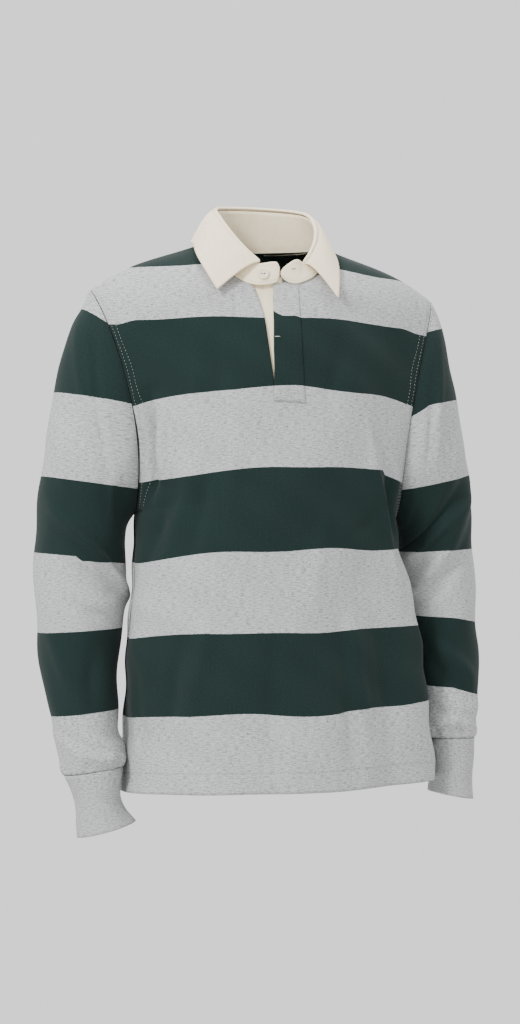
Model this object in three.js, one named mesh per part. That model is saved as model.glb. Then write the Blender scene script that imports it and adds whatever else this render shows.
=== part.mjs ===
// A striped heavy-jersey rugby shirt with a twill collar, in the hollow form that it has when worn.
// Millimetres. +Z is up, the front faces -Y and the wearer's right side is -X.
// The origin is the middle of the neck, level with the neck ends of the shoulder seams.
import * as THREE from "three";

// Driving dimensions
const jerseyWall = 1.6;
const twillWall = 1.8;
const seamGap = 0.3;
const seamInset = 0.6; // a panel's edge stops this short of the seam line
const underarmInset = 1.6; // more, where sleeve and body leave the seam side by side
const shoulderInset = 0.7; // front and back stop this short of the shoulder seam
const rowSag = 1.8; // a row stays level near the middle and drops towards its outer end
const torsoAxisY = 4; // the torso's middle, front to back
const hemFront = -676;
const neckFrontLevel = -60;
const neckBackLevel = -8;
const slitLevel = -187; // lower end of the front opening
const shoulderRound = 8; // how far the shoulder stands above a straight line
const roundRadius = 150; // turns degrees round the torso into millimetres of cloth
const degree = Math.PI / 180;

// Rows and columns of the panel grids
const neckRow = 5;
const slitRow = 9;
const underarmRow = 11;
const armRow = 14;
const hemRow = 26;
const panelColumns = 12;
const sleeveRings = 22;
const cuffRings = 4;
const sleeveColumns = 22;

// The armholes: the shoulder tip, the underarm point, half the depth front to back, how far the seam
// bows towards the neck half way down, and how far the sleeve's edge stays out from it.
const armholes = {
  right: { side: -1, topX: 218, topZ: -62, lowX: 162, lowZ: -335, midY: 4, depth: 62, bow: 16, sleeve: 0.9 },
  left: { side: 1, topX: 213, topZ: -71, lowX: 165, lowZ: -346, midY: 6, depth: 62, bow: 11, sleeve: 1.4 },
};

// Middle of the torso from the neck to the hem
const centreLine = [
  { level: -8, front: -70, back: 66 },
  { level: -60, front: -87, back: 88 },
  { level: -100, front: -102, back: 98 },
  { level: -150, front: -113, back: 105 },
  { level: -200, front: -119, back: 106 },
  { level: -300, front: -125, back: 101 },
  { level: -400, front: -127, back: 98 },
  { level: -500, front: -129, back: 104 },
  { level: -600, front: -133, back: 118 },
  { level: -690, front: -137, back: 128 },
];

// Side seams from the underarm to the hem
const sideSeams = {
  right: [
    { level: -335, out: 162, y: 0 },
    { level: -395, out: 165, y: -16 },
    { level: -450, out: 167, y: -20 },
    { level: -500, out: 170.5, y: -8 },
    { level: -552, out: 173, y: 4 },
    { level: -640, out: 175, y: 6 },
    { level: -681, out: 178, y: 6 },
  ],
  left: [
    { level: -346, out: 165, y: 6 },
    { level: -400, out: 163, y: 8 },
    { level: -460, out: 167, y: 10 },
    { level: -520, out: 177, y: 10 },
    { level: -580, out: 189, y: 10 },
    { level: -640, out: 198, y: 10 },
    { level: -668, out: 200, y: 10 },
  ],
};

// The neckline of each half, from the shoulder seam to the middle
const necklines = {
  frontRight: [
    { at: 0, x: -78, y: 6, z: -2 },
    { at: 0.25, x: -74, y: -26, z: -15 },
    { at: 0.5, x: -62, y: -56, z: -34 },
    { at: 0.75, x: -47, y: -75, z: -49 },
    { at: 1, x: -30, y: -86, z: neckFrontLevel },
  ],
  frontLeft: [
    { at: 0, x: 78, y: 6, z: -6 },
    { at: 0.25, x: 75, y: -28, z: -19 },
    { at: 0.5, x: 63, y: -58, z: -38 },
    { at: 0.75, x: 38, y: -79, z: -53 },
    { at: 1, x: -3, y: -87, z: neckFrontLevel },
  ],
  backRight: [
    { at: 0, x: -78, y: 6, z: -2 },
    { at: 0.5, x: -58, y: 44, z: -4 },
    { at: 1, x: 0, y: 66, z: neckBackLevel },
  ],
  backLeft: [
    { at: 0, x: 78, y: 6, z: -6 },
    { at: 0.5, x: 58, y: 44, z: -7 },
    { at: 1, x: 0, y: 66, z: neckBackLevel },
  ],
};

// Where a panel's rows end at the middle (level) and at the armhole (turn, degrees from its top), how far
// each row turns round the body, and how much fuller than that it is half way across.
const panelRows = {
  front: [
    { row: 0, level: neckFrontLevel, turn: 0, spread: 55, full: 0 },
    { row: neckRow, level: neckFrontLevel, turn: 60, spread: 54, full: 0 },
    { row: slitRow, level: slitLevel, turn: 101, spread: 60, full: 0 },
    { row: 12, level: -268, turn: 139, spread: 73, full: 0 },
    { row: armRow, level: -322, turn: 180, spread: 90, full: 0 },
    { row: hemRow, level: hemFront, turn: 180, spread: 90, full: 0 },
  ],
  back: [
    { row: 0, level: neckBackLevel, turn: 0, spread: 55, full: 0 },
    { row: neckRow, level: neckBackLevel, turn: 60, spread: 54, full: 15 },
    { row: slitRow, level: -150, turn: 101, spread: 58, full: 7 },
    { row: 12, level: -250, turn: 139, spread: 73, full: 2 },
    { row: armRow, level: -322, turn: 180, spread: 90, full: 0 },
    { row: hemRow, level: hemFront, turn: 180, spread: 90, full: 0 },
  ],
};

// The opening's edges: the wearer's right edge gapes, the left one runs straight down.
const slitEdges = [
  { level: neckFrontLevel, right: -30, left: -3 },
  { level: -100, right: -15.7, left: -3.4 },
  { level: -150, right: -9.6, left: -4.6 },
  { level: slitLevel, right: -5, left: -5 },
];

// The largest folds of the body, each a soft ridge or trough along a path. "at" is in degrees round
// from the middle of the front, positive to the wearer's left, "down" is below the origin and "rise" is
// how far the cloth stands out, negative for a trough.
const bodyFolds = [
  {
    width: 34,
    path: [
      { at: 55, down: 265, rise: 2 },
      { at: 68, down: 430, rise: 20 },
      { at: 71, down: 500, rise: 27 },
      { at: 73, down: 580, rise: 26 },
      { at: 75, down: 710, rise: 19 },
    ],
  },
  { width: 14, path: [{ at: -60, down: 190, rise: -4 }, { at: -64, down: 300, rise: -6 }] },
  { width: 26, path: [{ at: -76, down: 430, rise: 1 }, { at: -68, down: 710, rise: 6 }] },
  { width: 30, path: [{ at: -38, down: 500, rise: 0 }, { at: -33, down: 710, rise: 5 }] },
  { width: 28, path: [{ at: -10, down: 520, rise: 0 }, { at: -12, down: 710, rise: -4 }] },
  { width: 34, path: [{ at: 20, down: 480, rise: 0 }, { at: 27, down: 710, rise: 5 }] },
  { width: 26, path: [{ at: 112, down: 350, rise: 2 }, { at: 106, down: 710, rise: 7 }] },
  { width: 34, path: [{ at: 150, down: 240, rise: 0 }, { at: 144, down: 710, rise: 9 }] },
  { width: 36, path: [{ at: 180, down: 430, rise: -2 }, { at: 178, down: 710, rise: -6 }] },
  { width: 32, path: [{ at: -150, down: 260, rise: 0 }, { at: -143, down: 710, rise: 9 }] },
  { width: 26, path: [{ at: -112, down: 350, rise: 2 }, { at: -108, down: 710, rise: 6 }] },
];

// Sleeve sections from the armhole to the cuff seam. "down" is the place along the sleeve; "outX, outZ"
// is the section's outermost point, "inX, inZ" its innermost, "midY" its middle and "depth" half its
// depth front to back; "bow" moves its front and back towards the body.
const sleeveSections = {
  right: [
    { down: 0, outX: 218, outZ: -62, inX: 162, inZ: -335, midY: 4, depth: 62, bow: 16 },
    { down: 25, outX: 226, outZ: -82, inX: 165, inZ: -340, midY: 4, depth: 66, bow: 12 },
    { down: 50, outX: 236, outZ: -105, inX: 168, inZ: -345, midY: 5, depth: 68, bow: 8 },
    { down: 85, outX: 247, outZ: -137, inX: 170.5, inZ: -350, midY: 6, depth: 68, bow: 4 },
    { down: 135, outX: 258, outZ: -186, inX: 172.5, inZ: -357, midY: 9, depth: 67, bow: 1 },
    { down: 185, outX: 268, outZ: -235, inX: 173.5, inZ: -366, midY: 12, depth: 66, bow: 0 },
    { down: 235, outX: 275, outZ: -284, inX: 174, inZ: -378, midY: 15, depth: 65, bow: 0 },
    { down: 285, outX: 281, outZ: -334, inX: 173, inZ: -395, midY: 18, depth: 64, bow: 0 },
    { down: 335, outX: 285, outZ: -383, inX: 171.5, inZ: -417, midY: 20, depth: 63, bow: 0 },
    { down: 385, outX: 285, outZ: -430, inX: 173, inZ: -447, midY: 19, depth: 60, bow: 0 },
    { down: 435, outX: 282, outZ: -478, inX: 180, inZ: -483, midY: 15, depth: 56, bow: 0 },
    { down: 485, outX: 278, outZ: -526, inX: 182, inZ: -528, midY: 8, depth: 51, bow: 0 },
    { down: 535, outX: 271, outZ: -572, inX: 184, inZ: -570, midY: -2, depth: 46, bow: 0 },
    { down: 580, outX: 260, outZ: -616, inX: 187, inZ: -611, midY: -12, depth: 42, bow: 0 },
    { down: 605, outX: 256, outZ: -640, inX: 178, inZ: -630, midY: -16, depth: 42, bow: 0 },
    { down: 628, outX: 252, outZ: -659, inX: 178, inZ: -647, midY: -18, depth: 37, bow: 0 },
  ],
  left: [
    { down: 0, outX: 213, outZ: -71, inX: 165, inZ: -346, midY: 6, depth: 62, bow: 11 },
    { down: 25, outX: 222, outZ: -90, inX: 168, inZ: -351, midY: 6, depth: 66, bow: 8 },
    { down: 50, outX: 229, outZ: -118, inX: 170.5, inZ: -356, midY: 7, depth: 68, bow: 5 },
    { down: 85, outX: 236, outZ: -150, inX: 172.5, inZ: -361, midY: 9, depth: 68, bow: 3 },
    { down: 130, outX: 246, outZ: -188, inX: 173.5, inZ: -367, midY: 14, depth: 67, bow: 1 },
    { down: 180, outX: 255, outZ: -235, inX: 174, inZ: -375, midY: 20, depth: 66, bow: 0 },
    { down: 230, outX: 263, outZ: -283, inX: 174, inZ: -386, midY: 26, depth: 65, bow: 0 },
    { down: 280, outX: 269, outZ: -333, inX: 174, inZ: -402, midY: 30, depth: 63, bow: 0 },
    { down: 330, outX: 273, outZ: -384, inX: 174.5, inZ: -424, midY: 32, depth: 60, bow: 0 },
    { down: 380, outX: 274, outZ: -430, inX: 177.5, inZ: -453, midY: 30, depth: 57, bow: 0 },
    { down: 425, outX: 275, outZ: -475, inX: 183, inZ: -486, midY: 24, depth: 53, bow: 0 },
    { down: 465, outX: 276, outZ: -515, inX: 189, inZ: -520, midY: 18, depth: 49, bow: 0 },
    { down: 505, outX: 275, outZ: -555, inX: 196, inZ: -556, midY: 12, depth: 45, bow: 0 },
    { down: 540, outX: 271, outZ: -590, inX: 203, inZ: -590, midY: 7, depth: 42, bow: 0 },
    { down: 572, outX: 269, outZ: -619, inX: 209.5, inZ: -619, midY: 4, depth: 38, bow: 0 },
  ],
};

const cuffSections = {
  right: [
    { down: 0, outX: 251.5, outZ: -659.8, inX: 178.5, inZ: -647.8, midY: -18.5, depth: 36, bow: 0 },
    { down: 20, outX: 243, outZ: -679, inX: 182, inZ: -669, midY: -21, depth: 34, bow: 0 },
    { down: 40, outX: 239, outZ: -697, inX: 182, inZ: -686, midY: -23, depth: 33, bow: 0 },
    { down: 60, outX: 238, outZ: -716, inX: 177, inZ: -701, midY: -26, depth: 34, bow: 0 },
    { down: 80, outX: 236, outZ: -735, inX: 166, inZ: -716, midY: -29, depth: 36, bow: 0 },
  ],
  left: [
    { down: 0, outX: 268.5, outZ: -619.8, inX: 210, inZ: -619.8, midY: 4, depth: 37, bow: 0 },
    { down: 20, outX: 267, outZ: -640, inX: 212, inZ: -638, midY: 3, depth: 36, bow: 0 },
    { down: 40, outX: 265, outZ: -660, inX: 213, inZ: -655, midY: 1, depth: 36, bow: 0 },
    { down: 60, outX: 265, outZ: -679, inX: 212.5, inZ: -671, midY: -1, depth: 36, bow: 0 },
    { down: 78, outX: 266, outZ: -697, inX: 210.5, inZ: -687, midY: -3, depth: 37, bow: 0 },
  ],
};

// The largest folds of the sleeves. "at" is in degrees round the section: 0 outermost, 90 front,
// 180 innermost, 270 back.
const sleeveFolds = {
  right: [
    { width: 24, path: [{ at: 15, down: 235, rise: 2 }, { at: 70, down: 320, rise: 4 }] },
    { width: 15, path: [{ at: 55, down: 322, rise: -3 }, { at: 125, down: 372, rise: -6 }] },
    { width: 17, path: [{ at: 100, down: 330, rise: 4 }, { at: 175, down: 372, rise: 6 }] },
    { width: 18, path: [{ at: 300, down: 300, rise: 3 }, { at: 215, down: 350, rise: 6 }] },
    { width: 15, path: [{ at: 290, down: 345, rise: -3 }, { at: 205, down: 385, rise: -5 }] },
    { width: 13, path: [{ at: 5, down: 575, rise: 3 }, { at: 130, down: 600, rise: 5 }] },
    { width: 13, path: [{ at: 190, down: 590, rise: 5 }, { at: 330, down: 585, rise: 3 }] },
  ],
  left: [
    { width: 19, path: [{ at: 5, down: 232, rise: 3 }, { at: 110, down: 330, rise: 8 }] },
    { width: 15, path: [{ at: 15, down: 262, rise: -3 }, { at: 105, down: 360, rise: -7 }] },
    { width: 17, path: [{ at: 60, down: 352, rise: 3 }, { at: 120, down: 402, rise: 5 }] },
    { width: 18, path: [{ at: 320, down: 250, rise: 3 }, { at: 235, down: 330, rise: 7 }] },
    { width: 15, path: [{ at: 310, down: 290, rise: -3 }, { at: 230, down: 372, rise: -6 }] },
    { width: 12, path: [{ at: 20, down: 532, rise: 3 }, { at: 150, down: 552, rise: 5 }] },
    { width: 12, path: [{ at: 215, down: 545, rise: 4 }, { at: 340, down: 535, rise: 3 }] },
  ],
};

// The collar's fold line and the fall's free edge, from the wearer's right point round the back.
const collarStations = [
  { at: 0, foldX: -19, foldY: -83, foldZ: -31, edgeX: -73, edgeY: -96, edgeZ: -65.5 },
  { at: 1, foldX: -35, foldY: -73, foldZ: -15, edgeX: -83.5, edgeY: -78, edgeZ: -43.5 },
  { at: 2, foldX: -50, foldY: -52, foldZ: 6, edgeX: -91, edgeY: -48, edgeZ: -21 },
  { at: 3, foldX: -60, foldY: -22, foldZ: 27, edgeX: -90.5, edgeY: -12, edgeZ: -5 },
  { at: 4, foldX: -61, foldY: 14, foldZ: 41, edgeX: -88, edgeY: 27, edgeZ: 2 },
  { at: 5, foldX: -42, foldY: 46, foldZ: 46, edgeX: -62, edgeY: 66, edgeZ: 4 },
  { at: 6, foldX: 0, foldY: 60, foldZ: 47, edgeX: 0, edgeY: 83, edgeZ: 4 },
  { at: 7, foldX: 43, foldY: 46, foldZ: 43, edgeX: 62, edgeY: 66, edgeZ: 1 },
  { at: 8, foldX: 60, foldY: 14, foldZ: 35, edgeX: 85, edgeY: 27, edgeZ: -3 },
  { at: 9, foldX: 63, foldY: -20, foldZ: 19, edgeX: 83, edgeY: -12, edgeZ: -6.5 },
  { at: 10, foldX: 59, foldY: -44, foldZ: 1, edgeX: 85, edgeY: -46, edgeZ: -26 },
  { at: 11, foldX: 50, foldY: -62, foldZ: -16, edgeX: 81.5, edgeY: -77, edgeZ: -49 },
  { at: 12, foldX: 39, foldY: -74, foldZ: -31, edgeX: 77, edgeY: -97, edgeZ: -75 },
];
const fallBelly = 3; // how far the fall rounds out between fold and edge
const fallRows = 5;
const collarColumns = 42;

// The collar stand, from the end of the wearer's right tab round the back to the left tab.
const standStations = [
  { at: -1, topX: 5, topY: -88, topZ: -38, lowX: 4.5, lowY: -88, lowZ: -47 },
  { at: -0.75, topX: 1, topY: -88, topZ: -31, lowX: 0, lowY: -88, lowZ: -55 },
  { at: 0, topX: -21, topY: -80, topZ: -32, lowX: -24, lowY: -86, lowZ: -57 },
  { at: 1, topX: -35, topY: -69, topZ: -17, lowX: -44, lowY: -75, lowZ: -48 },
  { at: 2, topX: -48, topY: -49, topZ: 4, lowX: -61, lowY: -55, lowZ: -31 },
  { at: 3, topX: -57, topY: -21, topZ: 25, lowX: -73, lowY: -25, lowZ: -12 },
  { at: 4, topX: -58, topY: 13, topZ: 39, lowX: -76, lowY: 10, lowZ: 0 },
  { at: 5, topX: -40, topY: 43, topZ: 44, lowX: -56, lowY: 45, lowZ: -1.8 },
  { at: 6, topX: 0, topY: 57, topZ: 45, lowX: 0, lowY: 65, lowZ: -5 },
  { at: 7, topX: 41, topY: 43, topZ: 41, lowX: 56, lowY: 45, lowZ: -4.8 },
  { at: 8, topX: 57, topY: 13, topZ: 33, lowX: 76, lowY: 10, lowZ: -3 },
  { at: 9, topX: 60, topY: -19, topZ: 17, lowX: 74, lowY: -27, lowZ: -16 },
  { at: 10, topX: 56, topY: -42, topZ: -1, lowX: 62, lowY: -57, lowZ: -33 },
  { at: 11, topX: 48, topY: -59, topZ: -17, lowX: 49, lowY: -73, lowZ: -45 },
  { at: 12, topX: 37, topY: -72, topZ: -30, lowX: 33, lowY: -83, lowZ: -52.5 },
  { at: 12.6, topX: 26, topY: -80, topZ: -27, lowX: 22, lowY: -85, lowZ: -55 },
  { at: 13, topX: 9, topY: -85, topZ: -40, lowX: 10, lowY: -87, lowZ: -48 },
];
const standRows = 2;

// The self-cloth strip on the wearer's left of the opening and the twill facing that shows in it
const placketStart = 0.08; // both begin this part of a row below the neckline
const stripWidth = { top: 29, low: 37 };
const stripLap = 1.5; // the strip's folded edge stands this far past the panel's
const stripLastRow = slitRow + 0.5;
const stripColumns = 4;
const facingTuck = 8; // how far the facing runs on under the wearer's right edge
const facingReach = 9; // and past the middle under the strip
const facingLastRow = slitRow - 0.1;

// The button on the right tab: its size, the middle of its back, and the way that it faces
const button = { radius: 6.8, thickness: 2.6, rim: 1.1, dish: 0.7 };
const buttonSides = 20;
const buttonPlace = new THREE.Vector3(-14.6, -87.2, -44.5);
const buttonFacing = new THREE.Vector3(-0.22, -0.97, 0.11).normalize();


const colours = { green: 0x2a3f3c, grey: 0xc4c4c4, cream: 0xe8e2d8, pearl: 0xe6dfd0 };

// Value of one column of a table at a place along it: a cubic through the rows.
function column(table, key, at, name) {
  const last = table.length - 1;
  const descending = table[last][key] < table[0][key];
  const place = (i) => (descending ? -table[i][key] : table[i][key]);
  const x = Math.min(Math.max(descending ? -at : at, place(0)), place(last));
  let i = 0;
  while (i < last - 1 && x > place(i + 1)) i += 1;
  const slope = (j) => {
    const a = Math.max(j - 1, 0);
    const b = Math.min(j + 1, last);
    return (table[b][name] - table[a][name]) / (place(b) - place(a));
  };
  const step = place(i + 1) - place(i);
  const t = (x - place(i)) / step;
  const rise = 3 * t * t - 2 * t * t * t;
  return (
    table[i][name] * (1 - rise) +
    table[i + 1][name] * rise +
    slope(i) * step * (t - 2 * t * t + t * t * t) +
    slope(i + 1) * step * (t * t * t - t * t)
  );
}

// Point of the armhole seam; turn is 0 at the shoulder tip, 90 at the front and -90 at the back.
function armholePoint(armhole, turn, inset) {
  const c = Math.cos(turn * degree);
  const s = Math.sin(turn * degree);
  const middle = (armhole.topX + armhole.lowX) / 2;
  const half = (armhole.topX - armhole.lowX) / 2;
  return new THREE.Vector3(
    armhole.side * (middle + half * c - armhole.bow * s * s - inset),
    armhole.midY - armhole.depth * s,
    (armhole.topZ + armhole.lowZ) / 2 + ((armhole.topZ - armhole.lowZ) / 2) * c,
  );
}

// How far the folds move the cloth out at a place given in degrees round and millimetres down. Each fold
// falls away from the nearest point of its path as a bell curve.
function foldRise(folds, at, down, radius) {
  const scale = radius * degree;
  let total = 0;
  for (const { width, path } of folds) {
    let nearest = Infinity;
    let rise = 0;
    for (let i = 0; i + 1 < path.length; i += 1) {
      const x = (((((at - path[i].at) % 360) + 540) % 360) - 180) * scale;
      const y = down - path[i].down;
      const runX = (path[i + 1].at - path[i].at) * scale;
      const runY = path[i + 1].down - path[i].down;
      const t = THREE.MathUtils.clamp((x * runX + y * runY) / (runX * runX + runY * runY), 0, 1);
      const away = Math.hypot(x - t * runX, y - t * runY) / width;
      if (away < nearest) {
        nearest = away;
        rise = THREE.MathUtils.lerp(path[i].rise, path[i + 1].rise, t);
      }
    }
    total += rise * Math.exp(-nearest * nearest);
  }
  return total;
}

// Moves a point of the body out by its folds.
function foldBody(point) {
  const around = Math.atan2(point.x, torsoAxisY - point.y) / degree;
  const rise = foldRise(bodyFolds, around, -point.z, roundRadius);
  const out = Math.hypot(point.x, point.y - torsoAxisY);
  point.x += (rise * point.x) / out;
  point.y += (rise * (point.y - torsoAxisY)) / out;
  return point;
}

// Inner end of a row: on the neckline, on the edge of the opening, or on the middle of the panel.
function innerEnd(face, hand, row) {
  const rows = panelRows[face];
  if (row <= neckRow) {
    const line = necklines[face + (hand === "right" ? "Right" : "Left")];
    const at = row / neckRow;
    return new THREE.Vector3(
      column(line, "at", at, "x"),
      column(line, "at", at, "y"),
      column(line, "at", at, "z"),
    );
  }
  const level = column(rows, "row", row, "level");
  const opening = face === "front" && level > slitLevel;
  const x = opening ? column(slitEdges, "level", level, hand) : slitEdges.at(-1)[hand];
  const middle = face === "front" ? x : 0;
  return new THREE.Vector3(middle, column(centreLine, "level", level, face), level);
}

// Outer end of a row: on the armhole, or on the side seam below it.
function outerEnd(face, hand, row) {
  const armhole = armholes[hand];
  if (row <= armRow) {
    const turn = column(panelRows[face], "row", row, "turn");
    const point = armholePoint(armhole, face === "front" ? turn : -turn, seamInset);
    const nearUnderarm = Math.max(row - underarmRow, 0) / (armRow - underarmRow);
    point.y += (face === "front" ? -seamInset : seamInset) * nearUnderarm;
    return point;
  }
  const seam = sideSeams[hand];
  const share = (row - armRow) / (hemRow - armRow);
  const level = THREE.MathUtils.lerp(armhole.lowZ, seam.at(-1).level, share);
  const toFace = face === "front" ? -seamInset : seamInset;
  return new THREE.Vector3(
    armhole.side * (column(seam, "level", level, "out") - seamInset),
    column(seam, "level", level, "y") + toFace,
    level,
  );
}

// Point of a body panel, a share of the way from the middle to the outer end of a row.
function panelPoint(face, hand, row, share) {
  const inner = innerEnd(face, hand, row);
  const outer = outerEnd(face, hand, row);
  const rows = panelRows[face];
  const spread = column(rows, "row", row, "spread") * degree;
  const arc = Math.cos(Math.asin(share * Math.sin(spread)));
  const turned = (arc - Math.cos(spread)) / (1 - Math.cos(spread));
  const full = column(rows, "row", row, "full") * Math.sin(Math.PI * share);
  const lift = shoulderRound * Math.sin(Math.PI * Math.abs(share) ** 1.5) * Math.max(1 - row / neckRow, 0);
  const outward = face === "front" ? -1 : 1;
  const sag = THREE.MathUtils.lerp(1, rowSag, Math.min(row / neckRow, 1));
  const apart = row === 0 ? shoulderInset : 0;
  return foldBody(
    new THREE.Vector3(
      THREE.MathUtils.lerp(inner.x, outer.x, share),
      outer.y + (inner.y - outer.y) * turned + outward * (full + apart),
      THREE.MathUtils.lerp(inner.z, outer.z, Math.max(share, 0) ** sag) + lift,
    ),
  );
}

// A sheet of quads that is given a wall: its points moved out and in along their normals.
class Sheet {
  constructor() {
    this.points = [];
    this.quads = [];
  }
  add(point) {
    this.points.push(point);
    return this.points.length - 1;
  }
  quad(a, b, c, d) {
    this.quads.push([a, b, c, d]);
  }
  // Rows of point numbers joined into quads; a closed row runs round.
  grid(rows, closed = false) {
    for (let i = 0; i + 1 < rows.length; i += 1) {
      const count = rows[i].length;
      for (let j = 0; j + (closed ? 0 : 1) < count; j += 1) {
        const k = (j + 1) % count;
        this.quad(rows[i][j], rows[i + 1][j], rows[i + 1][k], rows[i][k]);
      }
    }
  }
  normals() {
    const normals = this.points.map(() => new THREE.Vector3());
    for (const [a, b, c, d] of this.quads) {
      const p = this.points;
      const across = p[c].clone().sub(p[a]);
      const normal = across.cross(p[d].clone().sub(p[b]));
      for (const i of [a, b, c, d]) normals[i].add(normal);
    }
    return normals.map((n) => n.normalize());
  }
  // The closed wall; lift moves the whole wall out along the normals.
  solid(thickness, lift = 0) {
    const normals = this.normals();
    const count = this.points.length;
    const positions = [];
    for (const half of [thickness / 2, -thickness / 2]) {
      this.points.forEach((p, i) => {
        const moved = p.clone().addScaledVector(normals[i], half + lift);
        positions.push(moved.x, moved.y, moved.z);
      });
    }
    const index = [];
    const edges = new Set();
    for (const quad of this.quads) {
      const [a, b, c, d] = quad;
      index.push(a, b, c, a, c, d);
      index.push(a + count, c + count, b + count, a + count, d + count, c + count);
      quad.forEach((from, i) => edges.add(from + " " + quad[(i + 1) % 4]));
    }
    for (const edge of edges) {
      const [from, to] = edge.split(" ").map(Number);
      if (edges.has(to + " " + from)) continue;
      index.push(to, from, from + count, to, from + count, to + count);
    }
    const geometry = new THREE.BufferGeometry();
    geometry.setAttribute("position", new THREE.Float32BufferAttribute(positions, 3));
    geometry.setIndex(index);
    geometry.computeVertexNormals();
    return geometry;
  }
}

// Shares of a row for its columns, closer together where the row turns round the side.
function columnShares(face, row) {
  const spread = column(panelRows[face], "row", row, "spread") * degree;
  const shares = [];
  for (let j = 0; j <= panelColumns; j += 1) {
    shares.push(Math.sin((spread * j) / panelColumns) / Math.sin(spread));
  }
  return shares;
}

// A body panel: two halves that share the points of the middle, below the neckline and the opening.
function bodyPanel(face) {
  const sheet = new Sheet();
  const joined = face === "front" ? slitRow : neckRow;
  const middle = [];
  for (let row = joined; row <= hemRow; row += 1) {
    middle[row] = sheet.add(panelPoint(face, "right", row, 0));
  }
  for (const hand of ["right", "left"]) {
    const rows = [];
    for (let row = 0; row <= hemRow; row += 1) {
      const numbers = columnShares(face, row).map((share, j) =>
        j === 0 && row >= joined
          ? middle[row]
          : sheet.add(panelPoint(face, hand, row, share)),
      );
      const outwards = (face === "front") === (hand === "left");
      rows.push(outwards ? numbers : numbers.reverse());
    }
    sheet.grid(rows);
  }
  return sheet.solid(jerseyWall);
}

// Point of a sleeve or cuff: an ellipse between the section's outermost and innermost points.
function sectionPoint(hand, sections, down, at, folds) {
  const value = (name) => column(sections, "down", down, name);
  const side = armholes[hand].side;
  const c = Math.cos(at * degree);
  const s = Math.sin(at * degree);
  const halfX = (value("outX") - value("inX")) / 2;
  const halfZ = (value("outZ") - value("inZ")) / 2;
  const long = Math.hypot(halfX, halfZ);
  const short = value("depth");
  const rise = foldRise(folds, at, down, (long + short) / 2);
  const inset = down > 0 ? 0 : armholes[hand].sleeve + underarmInset * Math.max(-c, 0) ** 2;
  const x = value("inX") + halfX + (halfX + (rise * halfX) / long) * c - value("bow") * s * s + inset;
  const z = value("inZ") + halfZ + (halfZ + (rise * halfZ) / long) * c;
  return new THREE.Vector3(side * x, value("midY") - (short + rise) * s, z);
}

// A tube through the sections, from the first to the last.
function sleeveTube(hand, sections, rings, columns, folds) {
  const sheet = new Sheet();
  const end = sections.at(-1).down;
  const rows = [];
  for (let i = 0; i <= rings; i += 1) {
    const numbers = [];
    for (let j = 0; j < columns; j += 1) {
      const point = sectionPoint(hand, sections, (end * i) / rings, (360 * j) / columns, folds);
      numbers.push(sheet.add(point));
    }
    rows.push(hand === "right" ? numbers : numbers.reverse());
  }
  sheet.grid(rows, true);
  return sheet.solid(jerseyWall);
}

// The collar's fall: from the fold line to the free edge, rounding out between them.
function collarFall() {
  const sheet = new Sheet();
  const rows = [];
  for (let i = 0; i <= fallRows; i += 1) {
    const numbers = [];
    const share = i / fallRows;
    for (let j = 0; j <= collarColumns; j += 1) {
      const at = (12 * j) / collarColumns;
      const value = (name) => column(collarStations, "at", at, name);
      const fold = new THREE.Vector3(value("foldX"), value("foldY"), value("foldZ"));
      const edge = new THREE.Vector3(value("edgeX"), value("edgeY"), value("edgeZ"));
      const out = new THREE.Vector3(edge.x - fold.x, edge.y - fold.y, 0).normalize();
      out.z = 1;
      const belly = fallBelly * Math.sin(Math.PI * share ** 0.6);
      numbers.push(sheet.add(fold.lerp(edge, share).addScaledVector(out, belly)));
    }
    rows.push(numbers);
  }
  sheet.grid(rows);
  return sheet.solid(twillWall);
}

// The collar's stand: from the neckline up to the fold line.
function collarStand() {
  const sheet = new Sheet();
  const rows = [];
  const first = standStations[0].at;
  const last = standStations.at(-1).at;
  for (let i = 0; i <= standRows; i += 1) {
    const numbers = [];
    for (let j = 0; j <= collarColumns; j += 1) {
      const at = THREE.MathUtils.lerp(first, last, j / collarColumns);
      const value = (name) => column(standStations, "at", at, name);
      const top = new THREE.Vector3(value("topX"), value("topY"), value("topZ"));
      const low = new THREE.Vector3(value("lowX"), value("lowY"), value("lowZ"));
      numbers.push(sheet.add(top.lerp(low, i / standRows)));
    }
    rows.push(numbers);
  }
  sheet.grid(rows);
  return sheet.solid(twillWall);
}

// Point of the front at a distance across from the middle, on either side of the opening.
function frontPoint(row, x) {
  const gape = (innerEnd("front", "right", row).x + innerEnd("front", "left", row).x) / 2;
  const hand = x < gape ? "right" : "left";
  const inner = innerEnd("front", hand, row).x;
  const outer = outerEnd("front", hand, row).x;
  const point = panelPoint("front", hand, row, Math.max((x - inner) / (outer - inner), 0));
  point.x = x;
  return point;
}

// A strip over rows of the front, between two edges given by row, moved out or in by lift.
function frontStrip(lastRow, edges, thickness, lift) {
  const sheet = new Sheet();
  const rows = [neckRow + placketStart, neckRow + 1, neckRow + 2, neckRow + 3, lastRow];
  if (lastRow > slitRow) rows.splice(4, 0, slitRow);
  sheet.grid(
    rows.map((row) => {
      const [from, to] = edges(row);
      const numbers = [];
      for (let j = 0; j <= stripColumns; j += 1) {
        numbers.push(sheet.add(frontPoint(row, THREE.MathUtils.lerp(from, to, j / stripColumns))));
      }
      return numbers;
    }),
  );
  return sheet.solid(thickness, lift);
}

// The strip: points of the front moved out by both walls and the gap.
function placketStrip() {
  const edges = (row) => {
    const fold = innerEnd("front", "left", row).x;
    const share = (row - neckRow) / (stripLastRow - neckRow);
    return [fold - stripLap, fold + THREE.MathUtils.lerp(stripWidth.top, stripWidth.low, share)];
  };
  return frontStrip(stripLastRow, edges, jerseyWall, jerseyWall + 2 * seamGap);
}

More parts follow.
